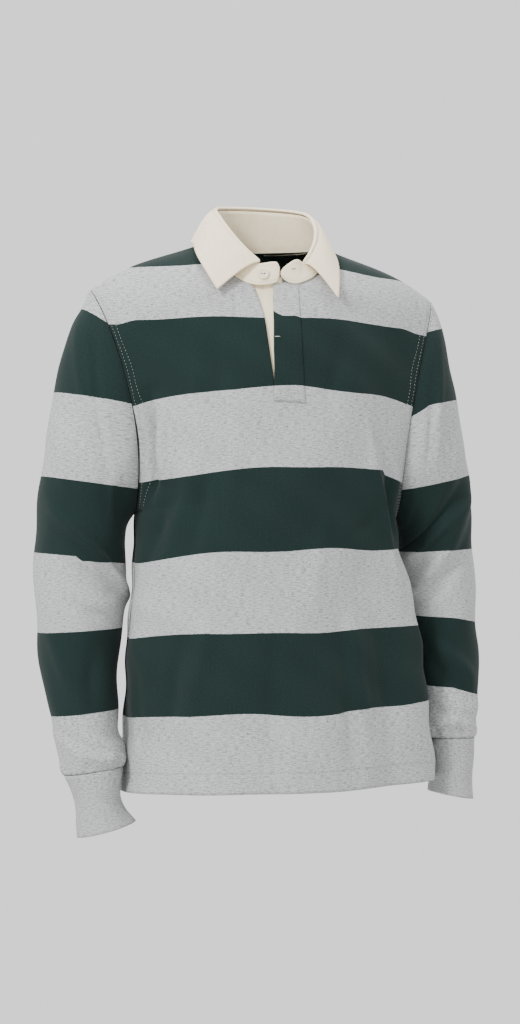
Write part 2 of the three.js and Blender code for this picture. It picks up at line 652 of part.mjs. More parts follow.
// The facing: points across the opening moved in by both walls and the gap.
function placketFacing() {
  const edges = (row) => [innerEnd("front", "right", row).x - facingTuck, facingReach];
  return frontStrip(facingLastRow, edges, twillWall, -(jerseyWall + twillWall) / 2 - 4 * seamGap);
}

// A round button with a raised rim and a dished middle, its back flat.
function buttonSolid() {
  const { radius, thickness, rim, dish } = button;
  const profile = [
    new THREE.Vector2(0, 0),
    new THREE.Vector2(radius - rim / 2, 0),
    new THREE.Vector2(radius, rim / 2),
    new THREE.Vector2(radius, thickness - rim / 2),
    new THREE.Vector2(radius - rim / 2, thickness),
    new THREE.Vector2(radius - rim, thickness),
    new THREE.Vector2(radius - 2 * rim, thickness - dish),
    new THREE.Vector2(0, thickness - dish),
  ];
  return new THREE.LatheGeometry(profile, buttonSides);
}

const shirt = new THREE.Group();

function addPiece(name, geometry, colour, roughness) {
  const material = new THREE.MeshStandardMaterial({ color: colour, roughness, metalness: 0 });
  const mesh = new THREE.Mesh(geometry, material);
  mesh.name = name;
  shirt.add(mesh);
  return mesh;
}

addPiece("front", bodyPanel("front"), colours.green, 0.95);
addPiece("back", bodyPanel("back"), colours.green, 0.95);
for (const hand of ["right", "left"]) {
  const sleeve = sleeveTube(hand, sleeveSections[hand], sleeveRings, sleeveColumns, sleeveFolds[hand]);
  addPiece("sleeve_" + hand, sleeve, colours.green, 0.95);
  const cuff = sleeveTube(hand, cuffSections[hand], cuffRings, sleeveColumns, []);
  addPiece("cuff_" + hand, cuff, colours.grey, 0.95);
}
addPiece("collar_stand", collarStand(), colours.cream, 0.9);
addPiece("collar_fall", collarFall(), colours.cream, 0.9);
addPiece("placket_strip", placketStrip(), colours.green, 0.95);
addPiece("placket_facing", placketFacing(), colours.cream, 0.9);

const neckButton = addPiece("button_neck", buttonSolid(), colours.pearl, 0.35);
neckButton.quaternion.setFromUnitVectors(new THREE.Vector3(0, 1, 0), buttonFacing);
neckButton.position.copy(buttonPlace);

export default shirt;
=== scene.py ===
"""Striped heavy-jersey rugby shirt in the form that it has when worn.

Lengths in the tables are millimetres and angles are degrees. +Z is up, the front faces -Y and the
wearer's right side is -X. Each cloth piece is a closed shell over a surface built here.
"""
import math

import bpy
import numpy as np
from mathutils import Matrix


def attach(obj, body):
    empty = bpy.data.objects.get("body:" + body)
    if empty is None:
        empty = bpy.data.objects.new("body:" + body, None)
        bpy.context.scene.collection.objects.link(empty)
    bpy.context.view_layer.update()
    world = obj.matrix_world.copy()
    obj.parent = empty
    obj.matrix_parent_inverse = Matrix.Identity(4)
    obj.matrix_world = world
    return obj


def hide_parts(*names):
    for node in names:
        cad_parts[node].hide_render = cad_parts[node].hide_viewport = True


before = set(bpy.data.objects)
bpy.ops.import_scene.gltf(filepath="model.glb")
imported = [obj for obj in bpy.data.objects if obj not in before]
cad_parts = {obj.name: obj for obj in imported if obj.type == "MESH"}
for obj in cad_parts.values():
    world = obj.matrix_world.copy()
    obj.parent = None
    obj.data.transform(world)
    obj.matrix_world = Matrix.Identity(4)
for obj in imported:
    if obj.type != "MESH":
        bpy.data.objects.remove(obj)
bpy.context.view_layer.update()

MM = 0.001
# Walls of jersey and rib, of twill, and of the strip's one layer, which lies this far out
JERSEY, TWILL, STRIP, STRIP_LIFT = 1.6, 1.8, 1.0, 1.35
# How far panels and sleeves stop short of a seam, and a sleeve more at the underarm
SEAM_INSET, UNDERARM_INSET = 0.2, 1.6
# The torso's axis is upright at this depth, and folds are laid out round it at this radius
TORSO_Y, ROUND_RADIUS = 4, 150
# The power by which a shoulder row falls, and the height of its rounding
ROW_SAG, SHOULDER_ROUND = 1.8, 8
HEM_FRONT, HEM_DEPTH = -676, 24
SLIT_LEVEL, SLIT_FOOT = -187, -5
NECK_ROW, SLIT_ROW, UNDERARM_ROW, ARM_ROW, HEM_ROW = 5, 9, 11, 14, 26
# Mesh rows for each row of a panel, and columns of each half
SUB_ROWS, PANEL_COLUMNS = 7, 84
# Flat cloth round a sleeve and a cuff, and along the collar for each of its rows
SLEEVE_GIRTH, CUFF_GIRTH, COLLAR_STEP = 380, 230, 26
# A distance from any stitched line at which nothing shows
NO_SEAM = 99
GROOVE_WIDTH, GROOVE_DEPTH = 1.5, 0.7
# From the armhole seam: its groove, and its two rows of stitches
ARMHOLE_GROOVE, TWIN_ROWS = 5, (3.6, 8.4)
SIDE_LENGTH = 340
# Levels that the ramp of the stripes covers
CLOTH_LOW, CLOTH_SPAN = -700, 800
FLOOR_LEVEL, FLOOR_RADIUS, FLOOR_SIDES = -1430, 2200, 96


def table(names, rows):
    """Columns by name, sorted by the first one, which is the place."""
    data = np.array(sorted(rows), float)
    return {name: data[:, i] for i, name in enumerate(("at " + names).split())}


def column(tab, at, name):
    """Value at a place: a cubic through the rows, its slope at a row that of its two neighbours."""
    x, y = tab["at"], tab[name]
    last = len(x) - 1
    before = np.maximum(np.arange(last + 1) - 1, 0)
    after = np.minimum(np.arange(last + 1) + 1, last)
    slope = (y[after] - y[before]) / (x[after] - x[before])
    at = np.clip(at, x[0], x[-1])
    i = np.clip(np.searchsorted(x, at, side="right") - 1, 0, last - 1)
    step = x[i + 1] - x[i]
    t = (at - x[i]) / step
    rise = 3 * t**2 - 2 * t**3
    return (
        y[i] * (1 - rise)
        + y[i + 1] * rise
        + slope[i] * step * (t - 2 * t**2 + t**3)
        + slope[i + 1] * step * (t**3 - t**2)
    )


ARMHOLES = {
    "right": dict(side=-1, topX=218, topZ=-62, lowX=162, lowZ=-335, midY=4, depth=62, bow=16),
    "left": dict(side=1, topX=213, topZ=-71, lowX=165, lowZ=-346, midY=6, depth=62, bow=11),
}
CENTRE = table("front back", [
    (-8, -70, 66), (-60, -87, 88), (-100, -102, 98), (-150, -113, 105), (-200, -119, 106),
    (-300, -125, 101), (-400, -127, 98), (-500, -129, 104), (-600, -133, 118), (-690, -137, 128),
])
SIDES = {
    "right": table("out y", [
        (-335, 162, 0), (-395, 165, -16), (-450, 167, -20), (-500, 170.5, -8), (-552, 173, 4),
        (-640, 175, 6), (-681, 178, 6),
    ]),
    "left": table("out y", [
        (-346, 165, 6), (-400, 163, 8), (-460, 167, 10), (-520, 177, 10), (-580, 189, 10),
        (-640, 198, 10), (-668, 200, 10),
    ]),
}
HEM_ENDS = {"right": -681, "left": -668}
NECKLINES = {
    "front right": table("x y z", [
        (0, -78, 6, -2), (0.25, -74, -26, -15), (0.5, -62, -56, -34), (0.75, -47, -75, -49),
        (1, -28.5, -86, -57.5),
    ]),
    "front left": table("x y z", [
        (0, 78, 6, -6), (0.25, 75, -28, -19), (0.5, 63, -58, -38), (0.75, 38, -79, -53),
        (1, -1, -87, -57.5),
    ]),
    "back right": table("x y z", [(0, -78, 6, -2), (0.5, -58, 44, -4), (1, 0, 66, -8)]),
    "back left": table("x y z", [(0, 78, 6, -6), (0.5, 58, 44, -7), (1, 0, 66, -8)]),
}
PANEL_ROWS = {
    "front": table("level turn spread full", [
        (0, -57.5, 0, 55, 0), (5, -57.5, 60, 54, 0), (9, SLIT_LEVEL, 101, 60, 0),
        (12, -268, 139, 73, 0), (14, -322, 180, 90, 0), (26, HEM_FRONT, 180, 90, 0),
    ]),
    "back": table("level turn spread full", [
        (0, -8, 0, 55, 0), (5, -8, 60, 54, 15), (9, -150, 101, 58, 7), (12, -250, 139, 73, 2),
        (14, -322, 180, 90, 0), (26, HEM_FRONT, 180, 90, 0),
    ]),
}
SLIT = table("right left", [
    (-57.5, -28.5, -1), (-74, -22.5, -2.2), (-100, -15.7, -3.4), (-130, -12, -4.4),
    (-160, -8.6, -4.7), (SLIT_LEVEL, SLIT_FOOT, SLIT_FOOT),
])

# Folds: a width and a path of (degrees round, millimetres down, how far the cloth stands out)
BODY_FOLDS = [
    (34, [(55, 265, 2), (68, 430, 20), (71, 500, 27), (73, 580, 26), (75, 710, 19)]),
    (14, [(-60, 190, -4), (-64, 300, -6)]),
    (26, [(-76, 430, 1), (-68, 710, 6)]),
    (30, [(-38, 500, 0), (-33, 710, 5)]),
    (28, [(-10, 520, 0), (-12, 710, -4)]),
    (34, [(20, 480, 0), (27, 710, 5)]),
    (26, [(112, 350, 2), (106, 710, 7)]),
    (34, [(150, 240, 0), (144, 710, 9)]),
    (36, [(180, 430, -2), (178, 710, -6)]),
    (32, [(-150, 260, 0), (-143, 710, 9)]),
    (26, [(-112, 350, 2), (-108, 710, 6)]),
]
BODY_CREASES = [
    (7, [(-64, 180, 0), (-65.5, 205, -9), (-66.5, 235, -20), (-67.5, 270, -18), (-68.5, 300, -9),
         (-70, 330, 0)]),
    (8, [(-57, 170, 0), (-58.5, 212, 3.5), (-60, 245, 7), (-61.5, 285, 5), (-65, 330, 0)]),
    (11, [(-44, 255, 0), (-47, 292, 3), (-51, 335, 4.5), (-56, 385, 4), (-62, 440, 0)]),
    (10, [(-36, 265, 0), (-40, 320, -3.5), (-43, 370, -3), (-48, 430, 0)]),
    (9, [(-60, 315, 0), (-62, 350, -4), (-68, 400, -3), (-76, 450, 0)]),
    (12, [(-82, 470, 0), (-66, 520, 4), (-60, 600, 0)]),
    (10, [(-74, 520, 0), (-70, 610, -5), (-72, 690, -2)]),
    (6, [(49, 205, 0), (50.3, 250, 2.5), (51.5, 284, 5), (56, 321, 6), (61.5, 380, 5),
         (64.6, 431, 2), (66, 474, 0)]),
    (9, [(56, 230, 0), (59, 268, -5), (62, 300, -9), (67, 350, -9), (72, 395, -5), (76, 440, 0)]),
    (10, [(66, 262, 0), (67, 300, 3), (70, 380, 7), (72, 450, 8), (74, 530, 0)]),
    (10, [(82, 290, 0), (83, 350, -7), (84, 430, -9), (85, 520, -5), (86, 600, 0)]),
    (11, [(40, 430, 0), (41, 490, 3.5), (43, 572, 4), (45, 640, 2.5), (46, 690, 0)]),
    (11, [(31, 440, 0), (34, 500, -3.5), (35.5, 580, -4), (37, 660, -1)]),
    (10, [(52, 450, 0), (55, 520, -5), (57, 600, -5), (58, 680, -1)]),
    (12, [(-32, 440, 0), (-38, 495, 3.5), (-42, 545, 3.5), (-46, 610, 0)]),
    (11, [(-47, 470, 0), (-52, 530, -4), (-55, 600, -4), (-57, 670, 0)]),
    (12, [(30, 300, 0), (20, 400, 3), (16, 480, 0)]),
    (13, [(-20, 210, 0), (-26, 300, 2.6), (-24, 400, 0)]),
    (12, [(42, 110, 0), (32, 170, -3.2), (26, 240, 0)]),
    (12, [(-40, 105, 0), (-33, 170, -3.6), (-29, 240, 0)]),
    (10, [(-48, 120, 0), (-43, 180, 2.6), (-40, 240, 0)]),
    (16, [(2, 430, 0), (-4, 520, -3), (-4, 640, -4), (0, 710, -2)]),
    (9, [(60, 318, 0), (48, 352, -2.6), (36, 372, 0)]),
    (9, [(104, 250, 0), (114, 330, 6), (124, 420, 0)]),
    (10, [(128, 170, 0), (140, 260, -6), (146, 340, 0)]),
    (12, [(160, 130, 0), (158, 220, 4.5), (162, 320, 0)]),
    (10, [(-128, 170, 0), (-138, 250, -6), (-142, 350, 0)]),
    (9, [(-104, 240, 0), (-112, 330, 6), (-126, 400, 0)]),
    (12, [(-160, 380, 0), (-166, 480, 5.5), (-160, 600, 0)]),
    (11, [(170, 360, 0), (160, 440, -5), (140, 500, 0)]),
    (10, [(100, 430, 0), (122, 500, -5.5), (130, 600, 0)]),
    (10, [(-96, 450, 0), (-120, 520, -5), (-128, 620, 0)]),
    (13, [(128, 560, 0), (126, 640, 5.5), (124, 710, 5)]),
    (13, [(-128, 580, 0), (-126, 650, -5), (-128, 710, -5)]),
    (11, [(176, 520, 0), (172, 610, 4), (170, 710, 4)]),
]
SLEEVES = {
    "right": table("outX outZ inX inZ midY depth bow", [
        (0, 218, -62, 162, -335, 4, 62, 16), (25, 227, -82, 165, -340, 4, 66, 12),
        (50, 238.5, -105, 168, -345, 5, 68, 8), (85, 250, -137, 170.5, -350, 6, 68, 4),
        (135, 261, -186, 172.5, -357, 9, 67, 1), (185, 269.5, -235, 173.5, -366, 12, 66, 0),
        (235, 275, -284, 174, -378, 15, 65, 0), (285, 281, -334, 173, -395, 18, 64, 0),
        (335, 285, -383, 171.5, -417, 20, 63, 0), (385, 285, -430, 173, -447, 19, 60, 0),
        (435, 282, -478, 180, -483, 15, 56, 0), (485, 278, -526, 182, -528, 8, 51, 0),
        (535, 271, -572, 184, -570, -2, 46, 0), (580, 260, -616, 187, -611, -12, 42, 0),
        (605, 256, -640, 178, -630, -16, 42, 0), (628, 252, -659, 178, -647, -18, 37, 0),
    ]),
    "left": table("outX outZ inX inZ midY depth bow", [
        (0, 213, -71, 165, -346, 6, 62, 11), (25, 222, -90, 168, -351, 6, 66, 8),
        (50, 229, -118, 170.5, -356, 7, 68, 5), (85, 236, -150, 172.5, -361, 9, 68, 3),
        (130, 246, -188, 173.5, -367, 14, 67, 1), (180, 255, -235, 174, -375, 20, 66, 0),
        (230, 263, -283, 174, -386, 26, 65, 0), (280, 269, -333, 174, -402, 30, 63, 0),
        (330, 273, -384, 174.5, -424, 32, 60, 0), (380, 274, -430, 177.5, -453, 30, 57, 0),
        (425, 275, -475, 183, -486, 24, 53, 0), (465, 276, -515, 189, -520, 18, 49, 0),
        (505, 275, -555, 196, -556, 12, 45, 0), (540, 271, -590, 203, -590, 7, 42, 0),
        (572, 269, -619, 209.5, -619, 4, 38, 0),
    ]),
}
SLEEVE_END = {"right": 628, "left": 572}
CUFFS = {
    "right": table("outX outZ inX inZ midY depth bow", [
        (0, 251.5, -659.8, 178.5, -647.8, -18.5, 36, 0), (20, 243, -679, 182, -669, -21, 34, 0),
        (40, 239, -697, 182, -686, -23, 33, 0), (60, 238, -716, 177, -701, -26, 34, 0),
        (80, 236, -735, 166, -716, -29, 36, 0),
    ]),
    "left": table("outX outZ inX inZ midY depth bow", [
        (0, 268.5, -619.8, 210, -619.8, 4, 37, 0), (20, 267, -640, 212, -638, 3, 36, 0),
        (40, 265, -660, 213, -655, 1, 36, 0), (60, 265, -679, 212.5, -671, -1, 36, 0),
        (78, 266, -697, 210.5, -687, -3, 37, 0),
    ]),
}
CUFF_END = {"right": 80, "left": 78}
SLEEVE_FOLDS = {
    "right": [
        (24, [(15, 235, 2), (70, 320, 4)]),
        (15, [(55, 322, -3), (125, 372, -6)]),
        (17, [(100, 330, 4), (175, 372, 6)]),
        (18, [(300, 300, 3), (215, 350, 6)]),
        (15, [(290, 345, -3), (205, 385, -5)]),
        (13, [(5, 575, 3), (130, 600, 5)]),
        (13, [(190, 590, 5), (330, 585, 3)]),
    ],
    "left": [
        (19, [(5, 232, 3), (110, 330, 8)]),
        (15, [(15, 262, -3), (105, 360, -7)]),
        (17, [(60, 352, 3), (120, 402, 5)]),
        (18, [(320, 250, 3), (235, 330, 7)]),
        (15, [(310, 290, -3), (230, 372, -6)]),
        (12, [(20, 532, 3), (150, 552, 5)]),
        (12, [(215, 545, 4), (340, 535, 3)]),
    ],
}
SLEEVE_CREASES = {
    "right": [
        (10, [(10, 40, 0), (26, 62, 3), (55, 97, 3.5), (75, 125, 2.5), (90, 150, 0)]),
        (9, [(30, 25, 0), (47, 40, -3), (70, 68, -4.5), (88, 95, -3), (104, 125, 0)]),
        (10, [(120, 60, 0), (116, 130, 4), (124, 210, 0)]),
        (12, [(30, 150, 0), (46, 210, 3.5), (62, 260, 0)]),
        (8, [(28, 268, 0), (47, 277, 3), (87, 293, 6), (115, 313, 6), (143, 348, 3), (165, 366, 0)]),
        (8, [(38, 294, 0), (78, 312, -4.5), (108, 334, -5.5), (138, 368, -3.5), (156, 386, 0)]),
        (8, [(60, 392, 0), (100, 412, -4), (140, 424, 0)]),
        (9, [(66, 376, 0), (104, 394, 3), (140, 400, 0)]),
        (10, [(30, 420, 0), (60, 490, 4), (84, 550, 0)]),
        (9, [(110, 440, 0), (98, 505, -4), (102, 570, 0)]),
        (7, [(14, 562, 0), (55, 580, -4), (100, 596, -4.5), (150, 604, -2.5), (180, 608, 0)]),
        (7, [(40, 594, 0), (95, 611, 4), (145, 616, 2), (185, 617, 0)]),
        (5, [(96, 600, 0), (92, 612, -3), (90, 624, 0)]),
        (10, [(270, 60, 0), (276, 150, -5), (268, 230, 0)]),
        (10, [(330, 180, 0), (310, 260, 5), (290, 320, 0)]),
        (9, [(300, 390, 0), (260, 420, 5.5), (220, 430, 0)]),
        (10, [(320, 450, 0), (290, 520, -5), (270, 570, 0)]),
        (7, [(220, 570, 0), (260, 600, -5), (310, 608, 0)]),
    ],
    "left": [
        (12, [(30, 20, 0), (48, 50, 3), (70, 80, 4), (86, 120, 3), (96, 170, 0)]),
        (10, [(60, 14, 0), (76, 44, -3), (94, 72, -3.5), (108, 110, 0)]),
        (11, [(40, 110, 0), (56, 180, 3.5), (70, 225, 0)]),
        (12, [(20, 222, 0), (84, 232, -5.5), (116, 239, -7), (160, 236, -5), (190, 230, 0)]),
        (11, [(22, 264, 0), (50, 265, 4), (85, 266, 5.5), (118, 268, 5), (145, 270, 2), (170, 272, 0)]),
        (9, [(50, 290, 0), (90, 302, -3.5), (120, 306, 0)]),
        (6, [(180, 322, 0), (156, 338, -6), (136, 352, 0)]),
        (8, [(170, 350, 0), (140, 366, 3.5), (100, 384, 0)]),
        (10, [(128, 436, 0), (108, 452, 4), (66, 481, 5), (38, 502, 0)]),
        (10, [(132, 468, 0), (110, 485, -4), (76, 512, -4.5), (48, 532, 0)]),
        (6, [(155, 526, 0), (110, 536, -4.5), (62, 541, -3), (28, 540, 0)]),
        (6, [(145, 547, 0), (100, 552, 3.5), (50, 556, 3), (8, 552, 0)]),
        (3.5, [(88, 546, 0), (86, 556, -4), (85, 568, 0)]),
        (10, [(272, 60, 0), (280, 150, -5), (270, 220, 0)]),
        (10, [(330, 170, 0), (312, 240, 5), (290, 300, 0)]),
        (9, [(300, 370, 0), (260, 404, 5.5), (220, 420, 0)]),
        (9, [(320, 430, 0), (290, 490, -5), (270, 530, 0)]),
        (7, [(210, 520, 0), (260, 546, -5), (310, 552, 0)]),
    ],
}
FALL = table("foldX foldY foldZ edgeX edgeY edgeZ", [
    (0, -19, -83, -31, -73, -96, -65.5), (1, -35, -73, -15, -83.5, -78, -43.5),
    (2, -50, -52, 6, -91, -48, -21), (3, -60, -22, 27, -90.5, -12, -5),
    (4, -61, 14, 41, -88, 27, 2), (5, -42, 46, 46, -62, 66, 4), (6, 0, 60, 47, 0, 83, 4),
    (7, 43, 46, 43, 62, 66, 1), (8, 60, 14, 35, 85, 27, -3), (9, 63, -20, 19, 83, -12, -6.5),
    (10, 59, -44, 1, 85, -46, -26), (11, 50, -62, -16, 81.5, -77, -49),
    (12, 39, -74, -31, 77, -97, -75),
])
STAND = table("topX topY topZ lowX lowY lowZ", [
    (-1, 5, -88, -38, 4.5, -88, -47), (-0.75, 1, -88, -31, 0, -88, -55),
    (0, -21, -80, -32, -24, -86, -57), (1, -35, -69, -17, -44, -75, -48),
    (2, -48, -49, 4, -61, -55, -31), (3, -57, -21, 25, -73, -25, -12),
    (4, -58, 13, 39, -76, 10, 0), (5, -40, 43, 44, -56, 45, -1.8), (6, 0, 57, 45, 0, 65, -5),
    (7, 41, 43, 41, 56, 45, -4.8), (8, 57, 13, 33, 76, 10, -3), (9, 60, -19, 17, 74, -27, -16),
    (10, 56, -42, -1, 62, -57, -33), (11, 48, -59, -17, 49, -73, -45),
    (12, 37, -72, -30, 33, -83, -52.5), (12.6, 26, -80, -27, 22, -85, -55),
    (12.85, 12, -84, -36, 12, -86.4, -52.5), (13, 6.4, -86, -43, 6.6, -87.5, -46.5),
])
# How far the stand's lower edge laps out and down over the neckline
STAND_LAP = table("out down", [
    (-1, 2.4, 0), (-0.5, 2.4, 1.5), (1, 2.4, 2), (2, 1, 1), (3, 0, 0), (4, 0, 0), (5, 3, 4),
    (7, 3, 4), (8, 0, 0), (9, 0, 0), (10, 1, 1), (11, 2.4, 2), (12.6, 2.4, 2), (13, 2.4, 0),
])
FALL_BELLY = 3  # how far the fall's middle rounds out
PLACKET_START = 0.08
STRIP_WIDTH = (29, 37)
STRIP_LAP = 1.5
STRIP_LAST = SLIT_ROW + 0.5
BAR_LEVEL = -123.5
BUTTON_AT, BUTTON_SHARE = -0.29, 0.52
# Sides of the button's mesh, and how far its holes are from its middle
BUTTON_SIDES, HOLE_OUT = 64, 1.55

# Levels of the stripe edges at the middle of the front, from the hem up: dark, grey, dark and so on
STRIPE_EDGES = [-583, -483, -382, -283, -185, -101, -33]
SLEEVE_EDGES = {
    "right": [-589, -487, -390, -294, -189, -86, -20],
    "left": [-562, -473, -383, -291, -195, -106, -30],
}
# How far the stripes hang lower at the side seam, by level, and at a sleeve's inner side
SIDE_DROOP = {
    "right": table("drop", [
        (-676, -8), (-583, -7), (-483, -9), (-382, -17), (-283, -20), (-185, -18), (-101, -1),
        (-33, -3),
    ]),
    "left": table("drop", [
        (-676, 8), (-583, 9), (-483, 4), (-382, -2), (-283, -6), (-185, -17), (-101, -8),
        (-33, -19),
    ]),
}
SLEEVE_TILT = {
    "right": table("drop", [
        (-589, 9), (-487, 7), (-390, -9), (-294, -16), (-189, -23), (-86, -66), (-20, -24),
    ]),
    "left": table("drop", [
        (-562, 8), (-473, 7), (-383, -5), (-291, -22), (-195, -19), (-100, -26), (-20, -8),
    ]),
}
# Steps of a sleeve's stripes at its folds: how far up at the outer and at the inner side, the shares
# of the way in between which that changes, and the level and width of the bell curve over it
SLEEVE_STEPS = {
    "right": [(-3, 3, 0.4, 0.46, -388, 26)],
    "left": [(7, 0, 0, 0.5, -555, 45), (4, 0, 0, 0.4, -470, 35), (0, 14, 0.5, 0.85, -205, 32)],
}


def bell(value, centre, width):
    """1 at the centre, and exp(-(distance / width) squared) away from it."""
    return np.exp(-((value - centre) / width)**2)


def ease(value, start, end):
    """0 before the start, 1 past the end and straight between them."""
    return np.clip((value - start) / (end - start), 0, 1)


def unit(vectors):
    """Vectors of the same directions, one millimetre long."""
    return vectors / np.maximum(np.linalg.norm(vectors, axis=-1, keepdims=True), 1e-9)


def pair(a, b):
    """Two numbers or arrays as arrays of one shape."""
    return np.broadcast_arrays(np.asarray(a, float), np.asarray(b, float))


def point_of(tab, at, name=""):
    """Point at a place of a table, from the three columns of one name."""
    return np.stack([column(tab, at, name + k) for k in ("XYZ" if name else "xyz")], -1)


def fold_rise(folds, at, down, radius):
    """How far folds move the cloth out.

    Round and down are laid flat at the radius. Each fold adds the height of the nearest point of its
    path, times exp(-(distance / width) squared).
    """
    total = np.zeros(np.broadcast(at, down).shape)
    scale = radius * math.pi / 180
    for width, path in folds:
        nearest = np.full(total.shape, np.inf)
        rise = np.zeros(total.shape)
        for (a0, d0, r0), (a1, d1, r1) in zip(path, path[1:]):
            run_x = ((a1 - a0 + 540) % 360 - 180) * scale
            run_y = d1 - d0
            x = ((at - a0 + 540) % 360 - 180) * scale
            y = down - d0
            t = np.clip((x * run_x + y * run_y) / (run_x**2 + run_y**2), 0, 1)
            away = np.hypot(x - t * run_x, y - t * run_y) / width
            closer = away < nearest
            nearest = np.where(closer, away, nearest)
            rise = np.where(closer, r0 + (r1 - r0) * t, rise)
        total += rise * np.exp(-nearest**2)
    return total


def waves(seed, points, lengths, height):
    """Soft unevenness: the mean of sines along fixed random directions, one for each wavelength."""
    rng = np.random.default_rng(seed)
    total = np.zeros(points.shape[:-1])
    for length in lengths:
        direction = rng.normal(size=3)
        direction /= np.linalg.norm(direction)
        total += np.sin(points @ direction * 2 * math.pi / length + rng.uniform(0, 6.28))
    return total * height / len(lengths)


def armhole_point(hole, turn, inset):
    """Point of the armhole seam; turn is 0 at the shoulder tip and 90 at the front.

    An ellipse between the shoulder tip and the underarm, drawn in by the bow at front and back.
    """
    c, s = np.cos(np.radians(turn)), np.sin(np.radians(turn))
    middle, half = (hole["topX"] + hole["lowX"]) / 2, (hole["topX"] - hole["lowX"]) / 2
    return np.stack([
        hole["side"] * (middle + half * c - hole["bow"] * s**2 - inset),
        hole["midY"] - hole["depth"] * s,
        (hole["topZ"] + hole["lowZ"]) / 2 + (hole["topZ"] - hole["lowZ"]) / 2 * c,
    ], -1)


def inner_end(face, hand, row):
    """Inner end of a row: on the neckline, on the opening's edge, or on the middle."""
    neck = point_of(NECKLINES[face + " " + hand], row / NECK_ROW)
    level = column(PANEL_ROWS[face], row, "level")
    x = 0 * level
    if face == "front":
        x = np.where(level > SLIT_LEVEL, column(SLIT, level, hand), SLIT_FOOT)
    middle = np.stack([x, column(CENTRE, level, face), level], -1)
    return np.where((row <= NECK_ROW)[..., None], neck, middle)


def outer_end(face, hand, row):
    """Outer end of a row: on the armhole, or on the side seam below it."""
    hole, seam = ARMHOLES[hand], SIDES[hand]
    towards = -SEAM_INSET if face == "front" else SEAM_INSET
    turn = column(PANEL_ROWS[face], row, "turn")
    high = armhole_point(hole, turn if face == "front" else -turn, SEAM_INSET)
    near = np.maximum(row - UNDERARM_ROW, 0) / (ARM_ROW - UNDERARM_ROW)
    high[..., 1] += 3 * towards * near
    share = (row - ARM_ROW) / (HEM_ROW - ARM_ROW)
    level = hole["lowZ"] + (HEM_ENDS[hand] - hole["lowZ"]) * share
    low = np.stack([
        hole["side"] * (column(seam, level, "out") - SEAM_INSET),
        column(seam, level, "y") + 3 * towards,
        level,
    ], -1)
    return np.where((row <= ARM_ROW)[..., None], high, low)


def panel_point(face, hand, row, share):
    """Point of a body panel, a share of the way from the middle to the outer end of a row.

    Across, a row runs straight between its ends. Its depth follows the arc of a circle as wide as
    the row's spread, and its fullness adds half a sine. Its height goes to the outer end's as a
    power of the share, and the shoulder is rounded by half a sine more. Folds, creases and a slow
    wave then move the point out from the torso's axis; creases and wave fade out at the armhole.
    """
    row, share = pair(row, share)
    inner, outer = inner_end(face, hand, row), outer_end(face, hand, row)
    rows = PANEL_ROWS[face]
    spread = np.radians(column(rows, row, "spread"))
    arc = np.cos(np.arcsin(np.clip(share * np.sin(spread), -1, 1)))
    turned = (arc - np.cos(spread)) / (1 - np.cos(spread))
    full = column(rows, row, "full") * np.sin(math.pi * share)
    lift = SHOULDER_ROUND * np.sin(math.pi * np.abs(share)**1.5) * np.maximum(1 - row / NECK_ROW, 0)
    outward = -1 if face == "front" else 1
    sag = 1 + (ROW_SAG - 1) * np.minimum(row / NECK_ROW, 1)
    apart = np.where(row == 0, 0.3, 0)
    point = np.stack([
        inner[..., 0] + (outer[..., 0] - inner[..., 0]) * share,
        outer[..., 1] + (inner[..., 1] - outer[..., 1]) * turned + outward * (full + apart),
        inner[..., 2] + (outer[..., 2] - inner[..., 2]) * np.maximum(share, 0)**sag + lift,
    ], -1)
    across, deep = point[..., 0], point[..., 1] - TORSO_Y
    around = np.degrees(np.arctan2(across, -deep))
    rise = fold_rise(BODY_FOLDS, around, -point[..., 2], ROUND_RADIUS)
    gap = (1 - share) * np.linalg.norm(outer - inner, axis=-1)
    near = 1 - bell(gap, 0, 7)
    near = near + (1 - near) * ease(row, ARM_ROW, ARM_ROW + 1.5)
    fade = ease(row, 1, 5) * near
    rise = rise + fade * fold_rise(BODY_CREASES, around, -point[..., 2], ROUND_RADIUS)
    rise = rise + fade * waves(7, point, (150, 110, 84, 66, 50), 5)
    out = np.hypot(across, deep)
    point[..., 0] += rise * across / out
    point[..., 1] += rise * deep / out
    return point


def section_point(hand, sections, down, at, folds, inset, gather=0.0):
    """Point of a sleeve or cuff, at an angle that is 0 at its outer side and 90 at its front.

    An ellipse between the section's outer and inner points, drawn in by its bow. Folds and a slow
    wave move it out along both axes. The gather is a sum of two sines round the lower end.
    """
    down, at = pair(down, at)
    side = ARMHOLES[hand]["side"]
    names = ("outX", "outZ", "inX", "inZ", "midY", "depth", "bow")
    v = {name: column(sections, down, name) for name in names}
    c, s = np.cos(np.radians(at)), np.sin(np.radians(at))
    half_x, half_z = (v["outX"] - v["inX"]) / 2, (v["outZ"] - v["inZ"]) / 2
    long, short = np.hypot(half_x, half_z), v["depth"]
    base = np.stack([
        v["inX"] + half_x * (1 + c), v["midY"] - short * s, v["inZ"] + half_z * (1 + c),
    ], -1)
    inset = bell(down, 0, 6) * (inset + UNDERARM_INSET * np.maximum(-c, 0)**2)
    rise = fold_rise(folds, at, down, (long + short) / 2)
    rise = rise + ease(down, 0, 40) * waves(11, base, (110, 80, 60, 46), 3)
    left = np.maximum(sections["at"][-1] - down, 0)
    pleats = np.sin(np.radians(13 * at + 40 * np.sin(np.radians(2 * at))))
    pleats = pleats + 0.6 * np.sin(np.radians(7 * at + 50))
    rise = rise + gather * bell(left, 0, 20) * (1 - bell(left, 0, 4)) * pleats
    return np.stack([
        side * (v["inX"] + half_x + (half_x + rise * half_x / long) * c - v["bow"] * s * s + inset),
        v["midY"] - (short + rise) * s,
        v["inZ"] + half_z + (half_z + rise * half_z / long) * c,
    ], -1)


